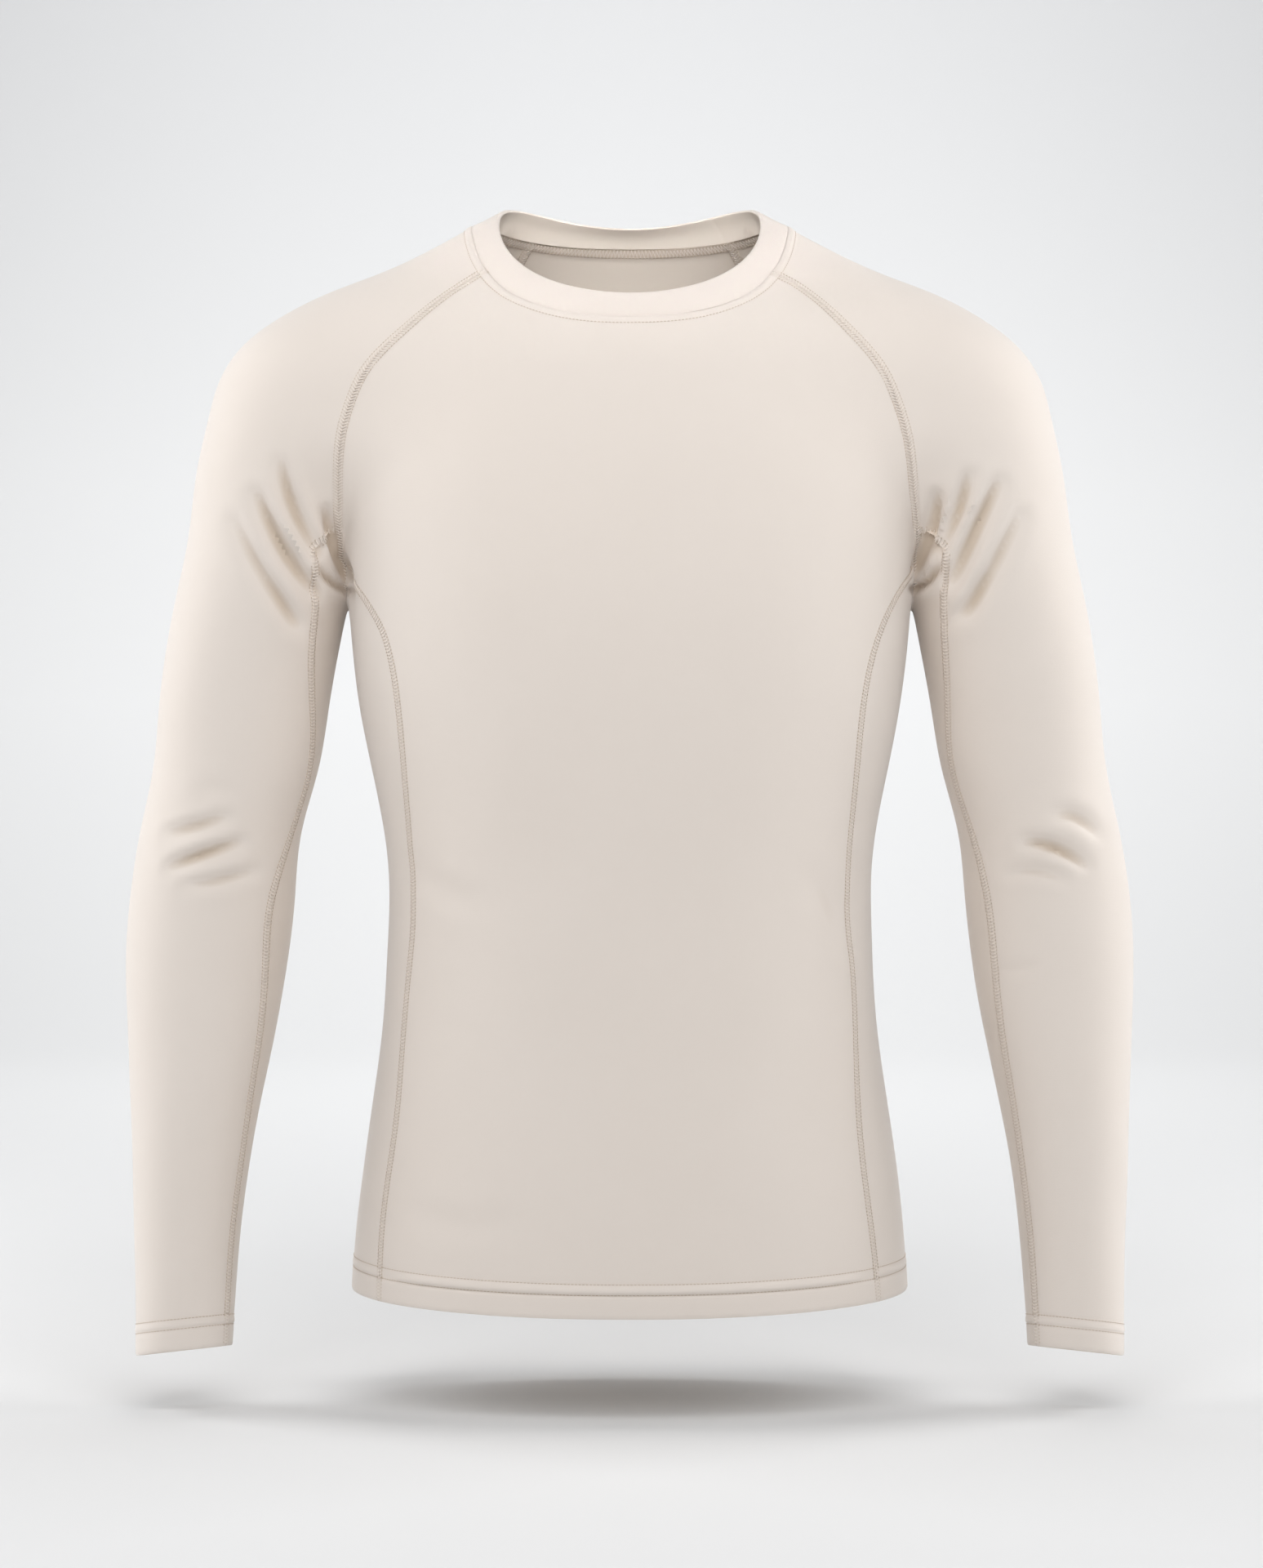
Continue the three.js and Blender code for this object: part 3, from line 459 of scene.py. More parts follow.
# The sleeve's under panel: from the gusset and underarm seams down the inside of the arm
def underSleeveGrid(side):
    front, back, underarm, sign = partsOf(side)
    top = np.concatenate([front["gusset"][:-1], underarm, back["gusset"][::-1][1:]])
    levels = sleeveLevels(weave["besideSeam"])
    fade = np.maximum(0, 1 - (levels[0] - levels) / 98)
    level = levels + (shape["crotchHeight"] - shape["gussetHeight"]) * fade
    x = sleeve["centreX"](level) - sleeve["halfWidth"](level)
    y = sleeve["centreY"](level)
    middle = settle(np.stack([sign * x, y, tilted(level, x, y)], -1), sleeveField)
    middle[0] = underarm[len(underarm) // 2]
    edges = [underEdge(line, levels) for line in (front, back)]
    edges[0][0], edges[1][0] = front["gusset"][0], back["gusset"][0]
    grid, across = spannedRows(edges, middle)
    weights = np.maximum(0, 1 - (levels[0] - levels) / 80) ** 2
    return drawnTo(grid, divided(top, across[0]), edges, weights, (sleeveField, form))


# Each fold is a soft trough from a to c, bowed at b, as (distance from the middle, height).
# Side is -1 on the right and 1 on the left, face is -1 on the front and 1 on the back. A fold is
# steeper on one side of its line than on the other, by its skew.
foldColumns = ("side", "face", "a", "b", "c", "width", "depth", "skew")
foldRows = (
    # right armpit, front
    (-1, -1, (212, -152), (205, -177), (192, -203), 5, 4.6, 0.25),
    (-1, -1, (226, -171), (211, -202), (194, -226), 5.4, 6, 0.3),
    (-1, -1, (240, -187), (224, -217), (205, -247), 5.6, 3.8, 0.25),
    (-1, -1, (216, -224), (209, -240), (201, -253), 5, 1.5, 0.2),
    (-1, -1, (187, -180), (183, -198), (177, -220), 3.8, 4.6, -0.2),
    (-1, -1, (190, -215), (183, -223), (173, -228), 2.8, 3.6, 0.2),
    (-1, -1, (175, -208), (172, -221), (170, -236), 3.4, 2.6, 0.1),
    # right elbow, front
    (-1, -1, (284, -376), (266, -372), (248, -366.5), 5, 3.1, 0.25),
    (-1, -1, (282, -396.5), (262, -389), (240, -382), 4.8, 4.6, 0.3),
    (-1, -1, (272, -408), (252, -405.5), (231, -400), 4.4, 2.8, 0.2),
    (-1, -1, (262, -352), (254, -350), (246, -352), 6, 0.9, 0),
    # left armpit, front
    (1, -1, (205, -160), (200, -180), (190, -202), 5, 4.6, 0.25),
    (1, -1, (223, -164), (210, -191), (197, -221), 5.4, 6, 0.3),
    (1, -1, (237, -183), (222, -212), (208, -241), 5.6, 3.8, 0.25),
    (1, -1, (214, -222), (207, -236), (199, -246), 5, 2.6, 0.2),
    (1, -1, (189, -171), (186, -190), (178, -213), 4.2, 5.4, -0.2),
    (1, -1, (190, -213), (183, -222), (174, -226), 2.8, 3.6, 0.2),
    # left elbow, front
    (1, -1, (262, -367), (275, -369), (288, -378), 5, 3, 0.25),
    (1, -1, (243, -384), (261, -387.5), (279, -397), 4.8, 4.5, 0.3),
    (1, -1, (234, -403), (249, -402), (265, -406.5), 4.2, 1.9, 0.2),
    (1, -1, (228, -463), (238, -461.5), (247.5, -458.5), 3.6, 1.0, 0.2),
    # body, front
    (1, -1, (110, -404), (119, -420), (125, -441), 9, 1.3, 0.1),
    (-1, -1, (126, -398), (112, -411), (92, -417), 9, 1.0, 0.1),
    (-1, -1, (130, -604), (104, -611), (72, -609), 10, 0.9, 0.1),
    # armpits and elbows, back
    (-1, 1, (211, -150), (205, -176), (194, -200), 6, 4.1, 0.25),
    (-1, 1, (227, -178), (217, -207), (203, -232), 6, 3.6, 0.25),
    (-1, 1, (188, -198), (182, -212), (176, -229), 4, 2.2, -0.2),
    (-1, 1, (282, -374), (262, -375), (243, -383), 6.4, 2.3, 0.25),
    (-1, 1, (278, -394), (262, -396), (248, -401), 5.4, 1.5, 0.2),
    (1, 1, (208, -156), (202, -180), (192, -202), 6, 4.1, 0.25),
    (1, 1, (224, -172), (214, -201), (201, -228), 6, 3.6, 0.25),
    (1, 1, (186, -202), (181, -215), (176, -230), 4, 2.0, -0.2),
    (1, 1, (284, -370), (264, -371), (246, -378), 6.4, 2.3, 0.25),
    (1, 1, (280, -390), (264, -393), (250, -397), 5.4, 1.6, 0.2),
    # small of the back
    (1, 1, (16, -409), (62, -418), (112, -404), 9, 1.8, 0.2),
    (-1, 1, (6, -428), (54, -438), (104, -425), 9, 1.6, 0.2),
    (-1, 1, (40, -396), (78, -402), (118, -390), 8, 1.2, 0.2),
)
folds = [dict(zip(foldColumns, row)) for row in foldRows]
relief = {
    "wall": 1.2,  # the cloth's thickness
    "raglanBand": 2.9, "sleeveBand": 2.5, "sideBand": 2.1,  # half the width of each flat seam
    "bandRise": 0.34, "seamDip": 0.1,
    "neckStitch": 5.7, "neckRise": 0.7,  # the stitched edge under the neckband
    "hemRows": (14.3, 20.7), "cuffRows": (13.0, 19.0), "hemFold": 1.1, "tunnel": 1.5,
    "uneven": 0.22,
}


# How deep the folds are: a trough d(1 - 0.75a^2)exp(-a^2/2) with low ridges beside it, where a is
# the distance from the fold's line over its width
def foldDepth(p):
    flat = p.reshape(-1, 3)
    total = np.zeros(len(flat))
    steps = np.linspace(0, 1, 9)[:, None]
    for fold in folds:
        a, b, c = (np.array(fold[key], float) for key in "abc")
        bow = 2 * b - (a + c) / 2
        path = (1 - steps) ** 2 * a + 2 * steps * (1 - steps) * bow + steps**2 * c
        reach = 4.5 * fold["width"]
        place = np.stack([fold["side"] * flat[:, 0], flat[:, 2]], -1)
        near = ((place > path.min(0) - reach) & (place < path.max(0) + reach)).all(1)
        if not near.any():
            continue
        place, y = place[near], flat[near, 1]
        start, span = path[:-1], np.diff(path, axis=0)
        offset = place[:, None] - start
        held = np.clip((offset * span).sum(-1) / (span**2).sum(-1), 0, 1)
        across = offset - held[..., None] * span
        away = np.linalg.norm(across, axis=-1)
        nearest = away.argmin(1)
        row = np.arange(len(place))
        chord, aside = span[nearest], across[row, nearest]
        turned = chord[:, 0] * aside[:, 1] - chord[:, 1] * aside[:, 0]
        way = turned / np.maximum(np.linalg.norm(chord, axis=-1) * away[row, nearest], 1e-6)
        share = (nearest + held[row, nearest]) / len(span)
        a = away[row, nearest] / (fold["width"] * (1 + fold["skew"] * way))
        centreLine = np.where(place[:, 0] > 190, sleeve["centreY"](place[:, 1]), 0)
        facing = ramp(0, 11, fold["face"] * (y - centreLine))
        strength = 0.4 + 0.6 * np.sin(np.pi * share) ** 0.8
        total[near] += facing * strength * fold["depth"] * (1 - 0.75 * a * a) * np.exp(-0.5 * a * a)
    return total.reshape(p.shape[:-1])


# Slow unevenness of the cloth all over: three long waves of different lengths and directions
def unevenness(p):
    x, y, z = p[..., 0], p[..., 1], p[..., 2]
    slow = np.sin(x / 21 + 1.3 * np.sin(z / 47)) * np.sin(z / 29 + y / 35)
    middling = np.sin(x / 12 - z / 33 + y / 19)
    short = np.sin(y / 9 + z / 17 + 0.8 * np.sin(x / 26))
    return relief["uneven"] * (slow + 0.5 * middling + 0.4 * short)


def drapeDepth(p):
    return foldDepth(p) + unevenness(p)


# Height of a flat seam by distance from its middle: a low step, and down to the cloth past its half width
def seamRelief(away, half):
    step = ramp(0, 0.9, away) - ramp(half - 0.2, half + 0.6, away)
    groove = 0.22 * np.exp(-(((away - half - 0.35) / 0.5) ** 2))
    return relief["bandRise"] * step - relief["seamDip"] * (1 - ramp(0, 0.7, away)) - groove


# Half the width of the flat seam beside each point of a panel: wider above the armpit than below it
def bandHalf(name, z):
    if "sleeve" in name:
        return relief["sleeveBand"] + (relief["raglanBand"] - relief["sleeveBand"]) * ramp(-197, -187, z)
    return relief["sideBand"] + (relief["raglanBand"] - relief["sideBand"]) * ramp(-223, -213, z)


def neckRelief(away):
    stitch = relief["neckStitch"]
    puff = relief["neckRise"] * np.sin(np.pi * np.clip(away / stitch, 0, 1)) ** 0.6
    return puff - 0.35 * np.exp(-(((away - stitch) / 0.7) ** 2)) - 0.25 * (1 - ramp(0, 0.7, away))


# A turned hem: a rounded edge, a flat face, two stitched dips and the soft tunnel between them
def hemRelief(away, rows, share=1.0):
    low, high = rows
    between = np.clip((away - low) / (high - low), 0, 1)
    tunnel = relief["tunnel"] * share * np.sin(np.pi * between**0.7) * (between > 0) * (between < 1)
    dips = 0.35 * (np.exp(-(((away - low) / 0.9) ** 2)) + 0.7 * np.exp(-(((away - high) / 0.9) ** 2)))
    face = 0.35 * (1 - ramp(low - 1.5, low, away)) - 0.5 * (1 - ramp(0, 1.6, away)) ** 2
    return tunnel - dips + face


def linked(name, data):
    made = bpy.data.objects.new(name, data)
    bpy.context.scene.collection.objects.link(made)
    return made


def meshObject(name, points, faces, material, uv=None, marks=None):
    mesh = bpy.data.meshes.new(name)
    mesh.from_pydata(points / 1000, [], faces)
    mesh.shade_smooth()
    mesh.set_sharp_from_angle(angle=math.radians(52))
    for key, values in (marks or {}).items():
        mark = mesh.attributes.new(key, "FLOAT", "POINT")
        mark.data.foreach_set("value", np.ascontiguousarray(values, np.float32))
    if uv is not None:
        corners = np.empty(len(mesh.loops), np.int32)
        mesh.loops.foreach_get("vertex_index", corners)
        flat = np.ascontiguousarray(uv[corners], np.float32).ravel()
        mesh.uv_layers.new(name="cloth").data.foreach_set("uv", flat)
    mesh.materials.append(material)
    return linked(name, mesh)


# Turns the faces of a closed mesh to point out, by the sign of its volume
def facedOut(points, faces):
    a, b, c, d = (points[faces[:, k]] for k in range(4))
    volume = (a * np.cross(b, c)).sum() + (a * np.cross(c, d)).sum()
    return faces if volume > 0 else faces[:, ::-1]


# Quads of a grid of points, and the quads that close the rim between two such grids
def gridFaces(rows, columns, start=0):
    i, k = np.mgrid[0 : rows - 1, 0 : columns - 1]
    at = start + i * columns + k
    return np.stack([at, at + columns, at + columns + 1, at + 1], -1).reshape(-1, 4)


def shellFaces(rows, columns):
    shift = rows * columns
    at = np.arange(shift).reshape(rows, columns)
    rim = np.concatenate([at[0, :-1], at[:-1, -1], at[-1, :0:-1], at[:0:-1, 0]])
    following = np.roll(rim, -1)
    side = np.stack([rim, following, following + shift, rim + shift], -1)
    return np.concatenate([gridFaces(rows, columns), gridFaces(rows, columns, shift)[:, ::-1], side])


# Each quad starts at the corner whose diagonal runs along a fold, where the depth differs least
def alongFolds(faces, depth):
    a, b, c, d = (depth[faces[:, k]] for k in range(4))
    turned = np.abs(a - c) > np.abs(b - d)
    return np.where(turned[:, None], np.roll(faces, -1, axis=1), faces)


# Distances along a grid's rows and columns
def gridRuns(grid):
    acrossStep = np.linalg.norm(np.diff(grid, axis=1), axis=2)
    downStep = np.linalg.norm(np.diff(grid, axis=0), axis=2)
    across = np.concatenate([np.zeros((len(grid), 1)), np.cumsum(acrossStep, 1)], 1)
    down = np.concatenate([np.zeros((1, grid.shape[1])), np.cumsum(downStep, 0)], 0)
    return across, down


# A cloth panel: its points moved out and in along the form's normal, by folds, sewing and thickness
def clothPanel(name, grid, topKind, rows):
    normal = unit(slopeOf(form, grid))
    across, down = gridRuns(grid)
    fromRight = across[:, -1:] - across
    fromBottom = down[-1] - down
    seamAway = np.minimum(across, fromRight)
    if topKind == "seam":
        seamAway = np.minimum(seamAway, down)
    base = -drapeDepth(grid)
    half = bandHalf(name, grid[..., 2])
    tunnelShare = ramp(8, 34, np.minimum(across, fromRight)) if name.startswith("front") else 0.35
    outside = seamRelief(seamAway, half) + hemRelief(fromBottom, rows, tunnelShare)
    turnedUp = relief["hemFold"] * (1 - ramp(rows[1] - 0.9, rows[1] - 0.3, fromBottom))
    inside = 0.3 * (1 - ramp(2.6, 3.6, seamAway)) + turnedUp - 0.6 * (1 - ramp(0, 1.6, fromBottom)) ** 2
    neckAway = np.full(down.shape, 99.0)
    if topKind == "neck":
        neckAway = down
        outside = outside + neckRelief(down)
        inside = inside + 0.5 * (1 - ramp(6.2, 7.2, down))
    outer = grid + normal * (base + outside)[..., None]
    inner = grid + normal * (base - relief["wall"] - inside)[..., None]
    points = np.concatenate([outer.reshape(-1, 3), inner.reshape(-1, 3)])
    troughs = np.tile(foldDepth(grid).ravel(), 2)
    faces = alongFolds(facedOut(points, shellFaces(*grid.shape[:2])), troughs)
    middle = grid.shape[1] // 2
    u = across - across[:, middle : middle + 1]
    v = -np.repeat(down[:, middle : middle + 1], grid.shape[1], 1)
    uv = np.stack([u, v], -1).reshape(-1, 2) / 100
    marks = {
        "seamShare": np.tile((seamAway / half).ravel(), 2),
        # This mark is painted shade: darker in the fold troughs, and darker all over the under-sleeve
        # panels, where the inner arm is in shade
        "paintedShade": np.clip(troughs / 4 + (0.45 if name.startswith("under") else 0), 0, 1),
        "neckAway": np.tile(neckAway.ravel(), 2),
        "inside": np.repeat([0.0, 1.0], grid.shape[0] * grid.shape[1]),
    }
    made = meshObject(name, points, faces, knitCloth, np.concatenate([uv, uv]), marks)
    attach(made, "root")
    return {
        "object": made, "grid": grid, "outer": outer, "inner": inner, "down": down, "up": fromBottom,
        "width": float(across[:, -1].max()) / 1000, "length": float(down[-1].max()) / 1000,
        "area": gridArea(grid),
    }


def gridArea(grid):
    a, b = grid[1:, 1:] - grid[:-1, :-1], grid[1:, :-1] - grid[:-1, 1:]
    return float(np.linalg.norm(np.cross(a, b), axis=-1).sum()) / 2e6


# The neckband: a folded strip, as a closed loop of section carried round the neck
neckband = {
    "wall": 2.4, "bulge": 1.1, "proud": 0.2, "around": 560, "height": 19, "rings": 420,
    "joinTurn": 0.394, "joinDip": 0.45, "joinWidth": 0.7,  # where its two ends are joined
}


def neckbandPoints():
    turn = np.linspace(0, 1, neckband["rings"], endpoint=False)
    seam, top = neckSeamAt(turn), neckLoop(neckTop, turn)
    along = neckLoop(neckTop, turn + 0.002) - neckLoop(neckTop, turn - 0.002)
    seamNormal = unit(slopeOf(form, seam))
    rise = top - seam
    topNormal = unit(np.cross(along, rise))
    topNormal *= np.sign((topNormal * seamNormal).sum(-1, keepdims=True))
    share = np.concatenate([[0, 0.02, 0.06], np.linspace(0.14, 0.9, 9), [0.96, 1.0]])
    blend = lambda s: unit(seamNormal[:, None] * (1 - s)[:, None] + topNormal[:, None] * s[:, None])
    bulge = lambda s: (neckband["bulge"] * np.sin(np.pi * s))[:, None]
    level = lambda s: seam[:, None] + rise[:, None] * s[:, None] + blend(s) * bulge(s)
    half = neckband["wall"] / 2
    fromJoin = (turn - neckband["joinTurn"]) * neckband["around"]
    join = np.exp(-((fromJoin / neckband["joinWidth"]) ** 2)) * neckband["joinDip"]
    closing = np.sqrt(np.clip(1 - ((share - 0.93) / 0.07).clip(0, 1) ** 2, 0, 1))
    dip = 0.4 * (1 - ramp(0, 0.06, share))
    lift = neckband["proud"] - half + half * closing - dip - join[:, None]
    outside = level(share) + blend(share) * lift[..., None]
    back = share[::-1][1:]
    lift = neckband["proud"] - half - half * closing[::-1][1:] + join[:, None]
    inside = level(back) + blend(back) * lift[..., None]
    return np.concatenate([outside, inside], 1), turn, np.concatenate([share, 2 - back])


def neckbandPiece():
    points, turn, share = neckbandPoints()
    rings, size = points.shape[:2]
    i, k = np.mgrid[0:rings, 0:size]
    at = lambda i, k: (i % rings) * size + k % size
    faces = np.stack([at(i, k), at(i, k + 1), at(i + 1, k + 1), at(i + 1, k)], -1).reshape(-1, 4)
    flat = points.reshape(-1, 3)
    sizes = turn[:, None] * neckband["around"], share * neckband["height"]
    uv = np.stack(np.broadcast_arrays(*sizes), -1).reshape(-1, 2) / 100
    marks = {
        "seamShare": np.full(len(flat), 9.0), "paintedShade": np.zeros(len(flat)),
        "neckAway": np.full(len(flat), 99.0), "inside": np.tile((share > 1.0).astype(float), rings),
    }
    made = meshObject("neckband_knit", flat, facedOut(flat, faces), bandCloth, uv, marks)
    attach(made, "root")
    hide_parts("neckband")
    return made


# The dark shade colour below is painted shade in the fold troughs, under the flat seams and inside behind
# the neck; it is also the deep end of the cloth's random tone patches
looks = {
    # The inside colour is painted light: lighter and warmer than the cloth, for the light that reaches the
    # inside and bounces about in it
    "cloth": (0.80, 0.73, 0.672), "inside": (0.88, 0.79, 0.70), "shadeAndPatchTone": (0.55, 0.445, 0.34),
    # The needle colour is painted shade: the needle rows' threads are coloured dark for the shade in their
    # needle holes
    "speck": (0.33, 0.25, 0.18), "thread": (0.87, 0.80, 0.74), "needleHoleShade": (0.58, 0.48, 0.39),
    "wale": 0.95, "course": 0.78,  # the knit's loops, in millimetres
}


# Gives a node's inputs their values, or links them to other sockets
def fill(tree, node, inputs):
    for key, value in inputs.items():
        if isinstance(value, bpy.types.NodeSocket):
            tree.links.new(value, node.inputs[key])
        else:
            node.inputs[key].default_value = value


def addNode(tree, kind, inputs=None, **settings):
    node = tree.nodes.new(kind)
    for key, value in settings.items():
        setattr(node, key, value)
    fill(tree, node, inputs or {})
    return node


def mathOf(tree, operation, *values):
    return addNode(tree, "ShaderNodeMath", dict(enumerate(values)), operation=operation).outputs[0]


# A mix of two colours, each a tuple or a socket, and a value read on another range
def mixed(tree, amount, *colors):
    first, second = ((*color, 1) if isinstance(color, tuple) else color for color in colors)
    return addNode(tree, "ShaderNodeMix", {0: amount, 6: first, 7: second}, data_type="RGBA").outputs[2]


def ranged(tree, value, start, end, low=0.0, high=1.0):
    sockets = {"Value": value, 1: start, 2: end, 3: low, 4: high}
    return addNode(tree, "ShaderNodeMapRange", sockets).outputs[0]


def noiseOf(tree, place, scale, roughness):
    sockets = {"Vector": place, "Scale": scale, "Detail": 3.0, "Roughness": roughness}
    return addNode(tree, "ShaderNodeTexNoise", sockets).outputs["Fac"]


def newGroup(name, inputs, outputs):
    group = bpy.data.node_groups.new(name, "ShaderNodeTree")
    for way, sockets in (("INPUT", inputs), ("OUTPUT", outputs)):
        for label, kind in sockets.items():
            group.interface.new_socket(label, in_out=way, socket_type="NodeSocket" + kind)
    return group, group.nodes.new("NodeGroupInput").outputs, group.nodes.new("NodeGroupOutput")


# Knit loops on the piece's own UV map: each wale is a column of V shapes. Height is
# sin(pi * fraction of (v/course + 0.6 * |distance from the wale's middle|)), lower between wales.
def knitLoopsGroup():
    sizes = {"Wale": "Float", "Course": "Float"}
    group, given, result = newGroup("knitLoops", sizes, {"Height": "Float"})
    calc = lambda operation, *values: mathOf(group, operation, *values)
    uv = addNode(group, "ShaderNodeUVMap", uv_map="cloth").outputs[0]
    parts = addNode(group, "ShaderNodeSeparateXYZ", {0: uv}).outputs
    u, v = (calc("DIVIDE", calc("MULTIPLY", parts[k], 100.0), given[k]) for k in (0, 1))
    side = calc("ABSOLUTE", calc("SUBTRACT", calc("FRACT", u), 0.5))
    rise = calc("FRACT", calc("ADD", v, calc("MULTIPLY", side, 1.2)))
    loop = calc("SINE", calc("MULTIPLY", rise, math.pi))
    leg = calc("SINE", calc("MULTIPLY", side, 2 * math.pi))
    height = calc("MULTIPLY", calc("ADD", calc("MULTIPLY", loop, 0.6), 0.4), leg)
    fill(group, result, {"Height": height})
    return group


# Slow patches of tone, fine fuzz and a few flecks, on Object coordinates
def clothToneGroup():
    colors = {"Color": "Color", "Deep": "Color", "Fleck": "Color", "Amount": "Float"}
    group, given, result = newGroup("clothTone", colors, {"Color": "Color", "Fuzz": "Float"})
    calc = lambda operation, *values: mathOf(group, operation, *values)
    place = addNode(group, "ShaderNodeTexCoord").outputs["Object"]
    patch, fuzz = noiseOf(group, place, 9.0, 0.55), noiseOf(group, place, 1400.0, 0.7)
    amount = calc("MULTIPLY", calc("ADD", patch, calc("MULTIPLY", fuzz, 0.35)), given["Amount"])
    toned = mixed(group, amount, given["Color"], given["Deep"])
    cells = addNode(group, "ShaderNodeTexVoronoi", {"Vector": place, "Scale": 14.0, "Randomness": 1.0})
    draw = addNode(group, "ShaderNodeSeparateColor", {0: cells.outputs["Color"]}).outputs[0]
    small = calc("LESS_THAN", cells.outputs["Distance"], 0.0085)
    fleck = calc("MULTIPLY", calc("MULTIPLY", calc("GREATER_THAN", draw, 0.86), small), 0.55)
    fill(group, result, {"Color": mixed(group, fleck, toned, given["Fleck"]), "Fuzz": fuzz})
    return group


def newMaterial(name):
    material = bpy.data.materials.new(name)
    material.use_nodes = True
    tree = material.node_tree
    return material, tree, tree.nodes["Principled BSDF"]


def toneOf(tree, color, fleck, amount):
    sockets = {"Color": color, "Deep": (*looks["shadeAndPatchTone"], 1), "Fleck": (*fleck, 1), "Amount": amount}
    return addNode(tree, "ShaderNodeGroup", sockets, node_tree=clothTone).outputs


def bumpOf(tree, height, depth, strength):
    sockets = {"Height": height, "Distance": depth, "Strength": strength}
    return addNode(tree, "ShaderNodeBump", sockets).outputs[0]


def knitMaterial(name, wale, course, depth):
    material, tree, shader = newMaterial(name)
    mark = lambda key: addNode(tree, "ShaderNodeAttribute", attribute_name=key).outputs["Fac"]
    inside = mark("inside")
    # The inside face takes the lighter, warmer inside colour: painted light
    plain = mixed(tree, inside, looks["cloth"], looks["inside"])
    # Painted shade under the flat seams: the cloth beneath their threads is mixed towards the shade colour,
    # so the gaps between threads read dark
    seamBandShade = ranged(tree, mark("seamShare"), 1.3, 0.9, 0.0, 0.14)
    # Painted shade on the inside behind the neck: the cloth under the cover stitching is mixed towards the
    # shade colour
    coverBandShade = mathOf(tree, "MULTIPLY", ranged(tree, mark("neckAway"), 7.4, 6.6, 0.0, 0.4), inside)
    # Painted shade: the cloth is mixed towards the shade colour in fold troughs and on the under-sleeve
    # panels
    paintedShade = ranged(tree, mark("paintedShade"), 0.25, 1.0, 0.0, 0.75)
    shade = mathOf(tree, "MAXIMUM", mathOf(tree, "MAXIMUM", seamBandShade, coverBandShade), paintedShade)
    tone = toneOf(tree, mixed(tree, shade, plain, looks["shadeAndPatchTone"]), looks["speck"], 0.1)
    loops = addNode(tree, "ShaderNodeGroup", {"Wale": wale, "Course": course}, node_tree=knitLoops)
    height = mathOf(tree, "ADD", loops.outputs[0], mathOf(tree, "MULTIPLY", tone["Fuzz"], 0.8))
    fill(tree, shader, {
        "Base Color": tone["Color"], "Normal": bumpOf(tree, height, depth, 0.6),
        "Roughness": ranged(tree, tone["Fuzz"], 0.2, 0.8, 0.82, 0.95),
        "Sheen Weight": 0.4, "Sheen Roughness": 0.45, "Specular IOR Level": 0.25,
    })
    return material


def threadMaterial(name, color):
    material, tree, shader = newMaterial(name)
    tone = toneOf(tree, (*color, 1), color, 0.25)
    fill(tree, shader, {
        "Base Color": tone["Color"], "Normal": bumpOf(tree, tone["Fuzz"], 0.00008, 0.7),
        "Roughness": 0.6, "Sheen Weight": 0.2,
    })
    return material


knitLoops, clothTone = knitLoopsGroup(), clothToneGroup()
knitCloth = knitMaterial("fineKnit", looks["wale"], looks["course"], 0.00006)
bandCloth = knitMaterial("bandKnit", 1.1, 0.8, 0.00009)
coverThread = threadMaterial("coverThread", looks["thread"])
# The needle rows' thread material is dark: painted shade for their needle holes
needleShadeThread = threadMaterial("needleShadeThread", looks["needleHoleShade"])
print("materials made")


seams = {side: seamsOf(side) for side in ("right", "left")}
print("seams laid out")
hemRows, cuffRows = relief["hemRows"], relief["cuffRows"]
panels = {name: clothPanel(name + "_knit", bodyGrid(name), "neck", hemRows) for name in ("front", "back")}
for side in ("right", "left"):
    for kind, grid, top, rows in (
        ("side", sideGrid(side), "seam", hemRows),
        ("sleeve", sleeveGrid(side), "neck", cuffRows),
        ("under_sleeve", underSleeveGrid(side), "seam", cuffRows),
    ):
        panels[f"{kind}_{side}"] = clothPanel(f"{kind}_knit_{side}", grid, top, rows)
for node, panel in panels.items():
    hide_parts(node)
    print(node, "cloth", panel["grid"].shape[:2], "points")
band = neckbandPiece()
print("neckband made")


# Flat seams: half is how far the cover threads reach, lean how far they slant, and needles are the
# places of the two needle rows beside them
sewing = {
    "raglan": {"pitch": 1.95, "half": 2.35, "lean": 0.85, "radius": 0.38, "needles": (-3.0, 3.0)},
    "side": {"pitch": 2.05, "half": 1.55, "lean": 0.2, "radius": 0.4, "needles": (-2.35, 2.1)},
    "sleeve": {"pitch": 2.05, "half": 2.0, "lean": 0.25, "radius": 0.42, "needles": (-2.85, 2.5)},
    "needleHalf": 0.62, "needleRadius": 0.26, "rowRadius": 0.32, "stitchPitch": 2.2, "hemPitch": 3.4,
    "coverTop": 1.0, "coverLow": 6.4, "coverPitch": 2.3, "coverRadius": 0.3,  # behind the neck
}


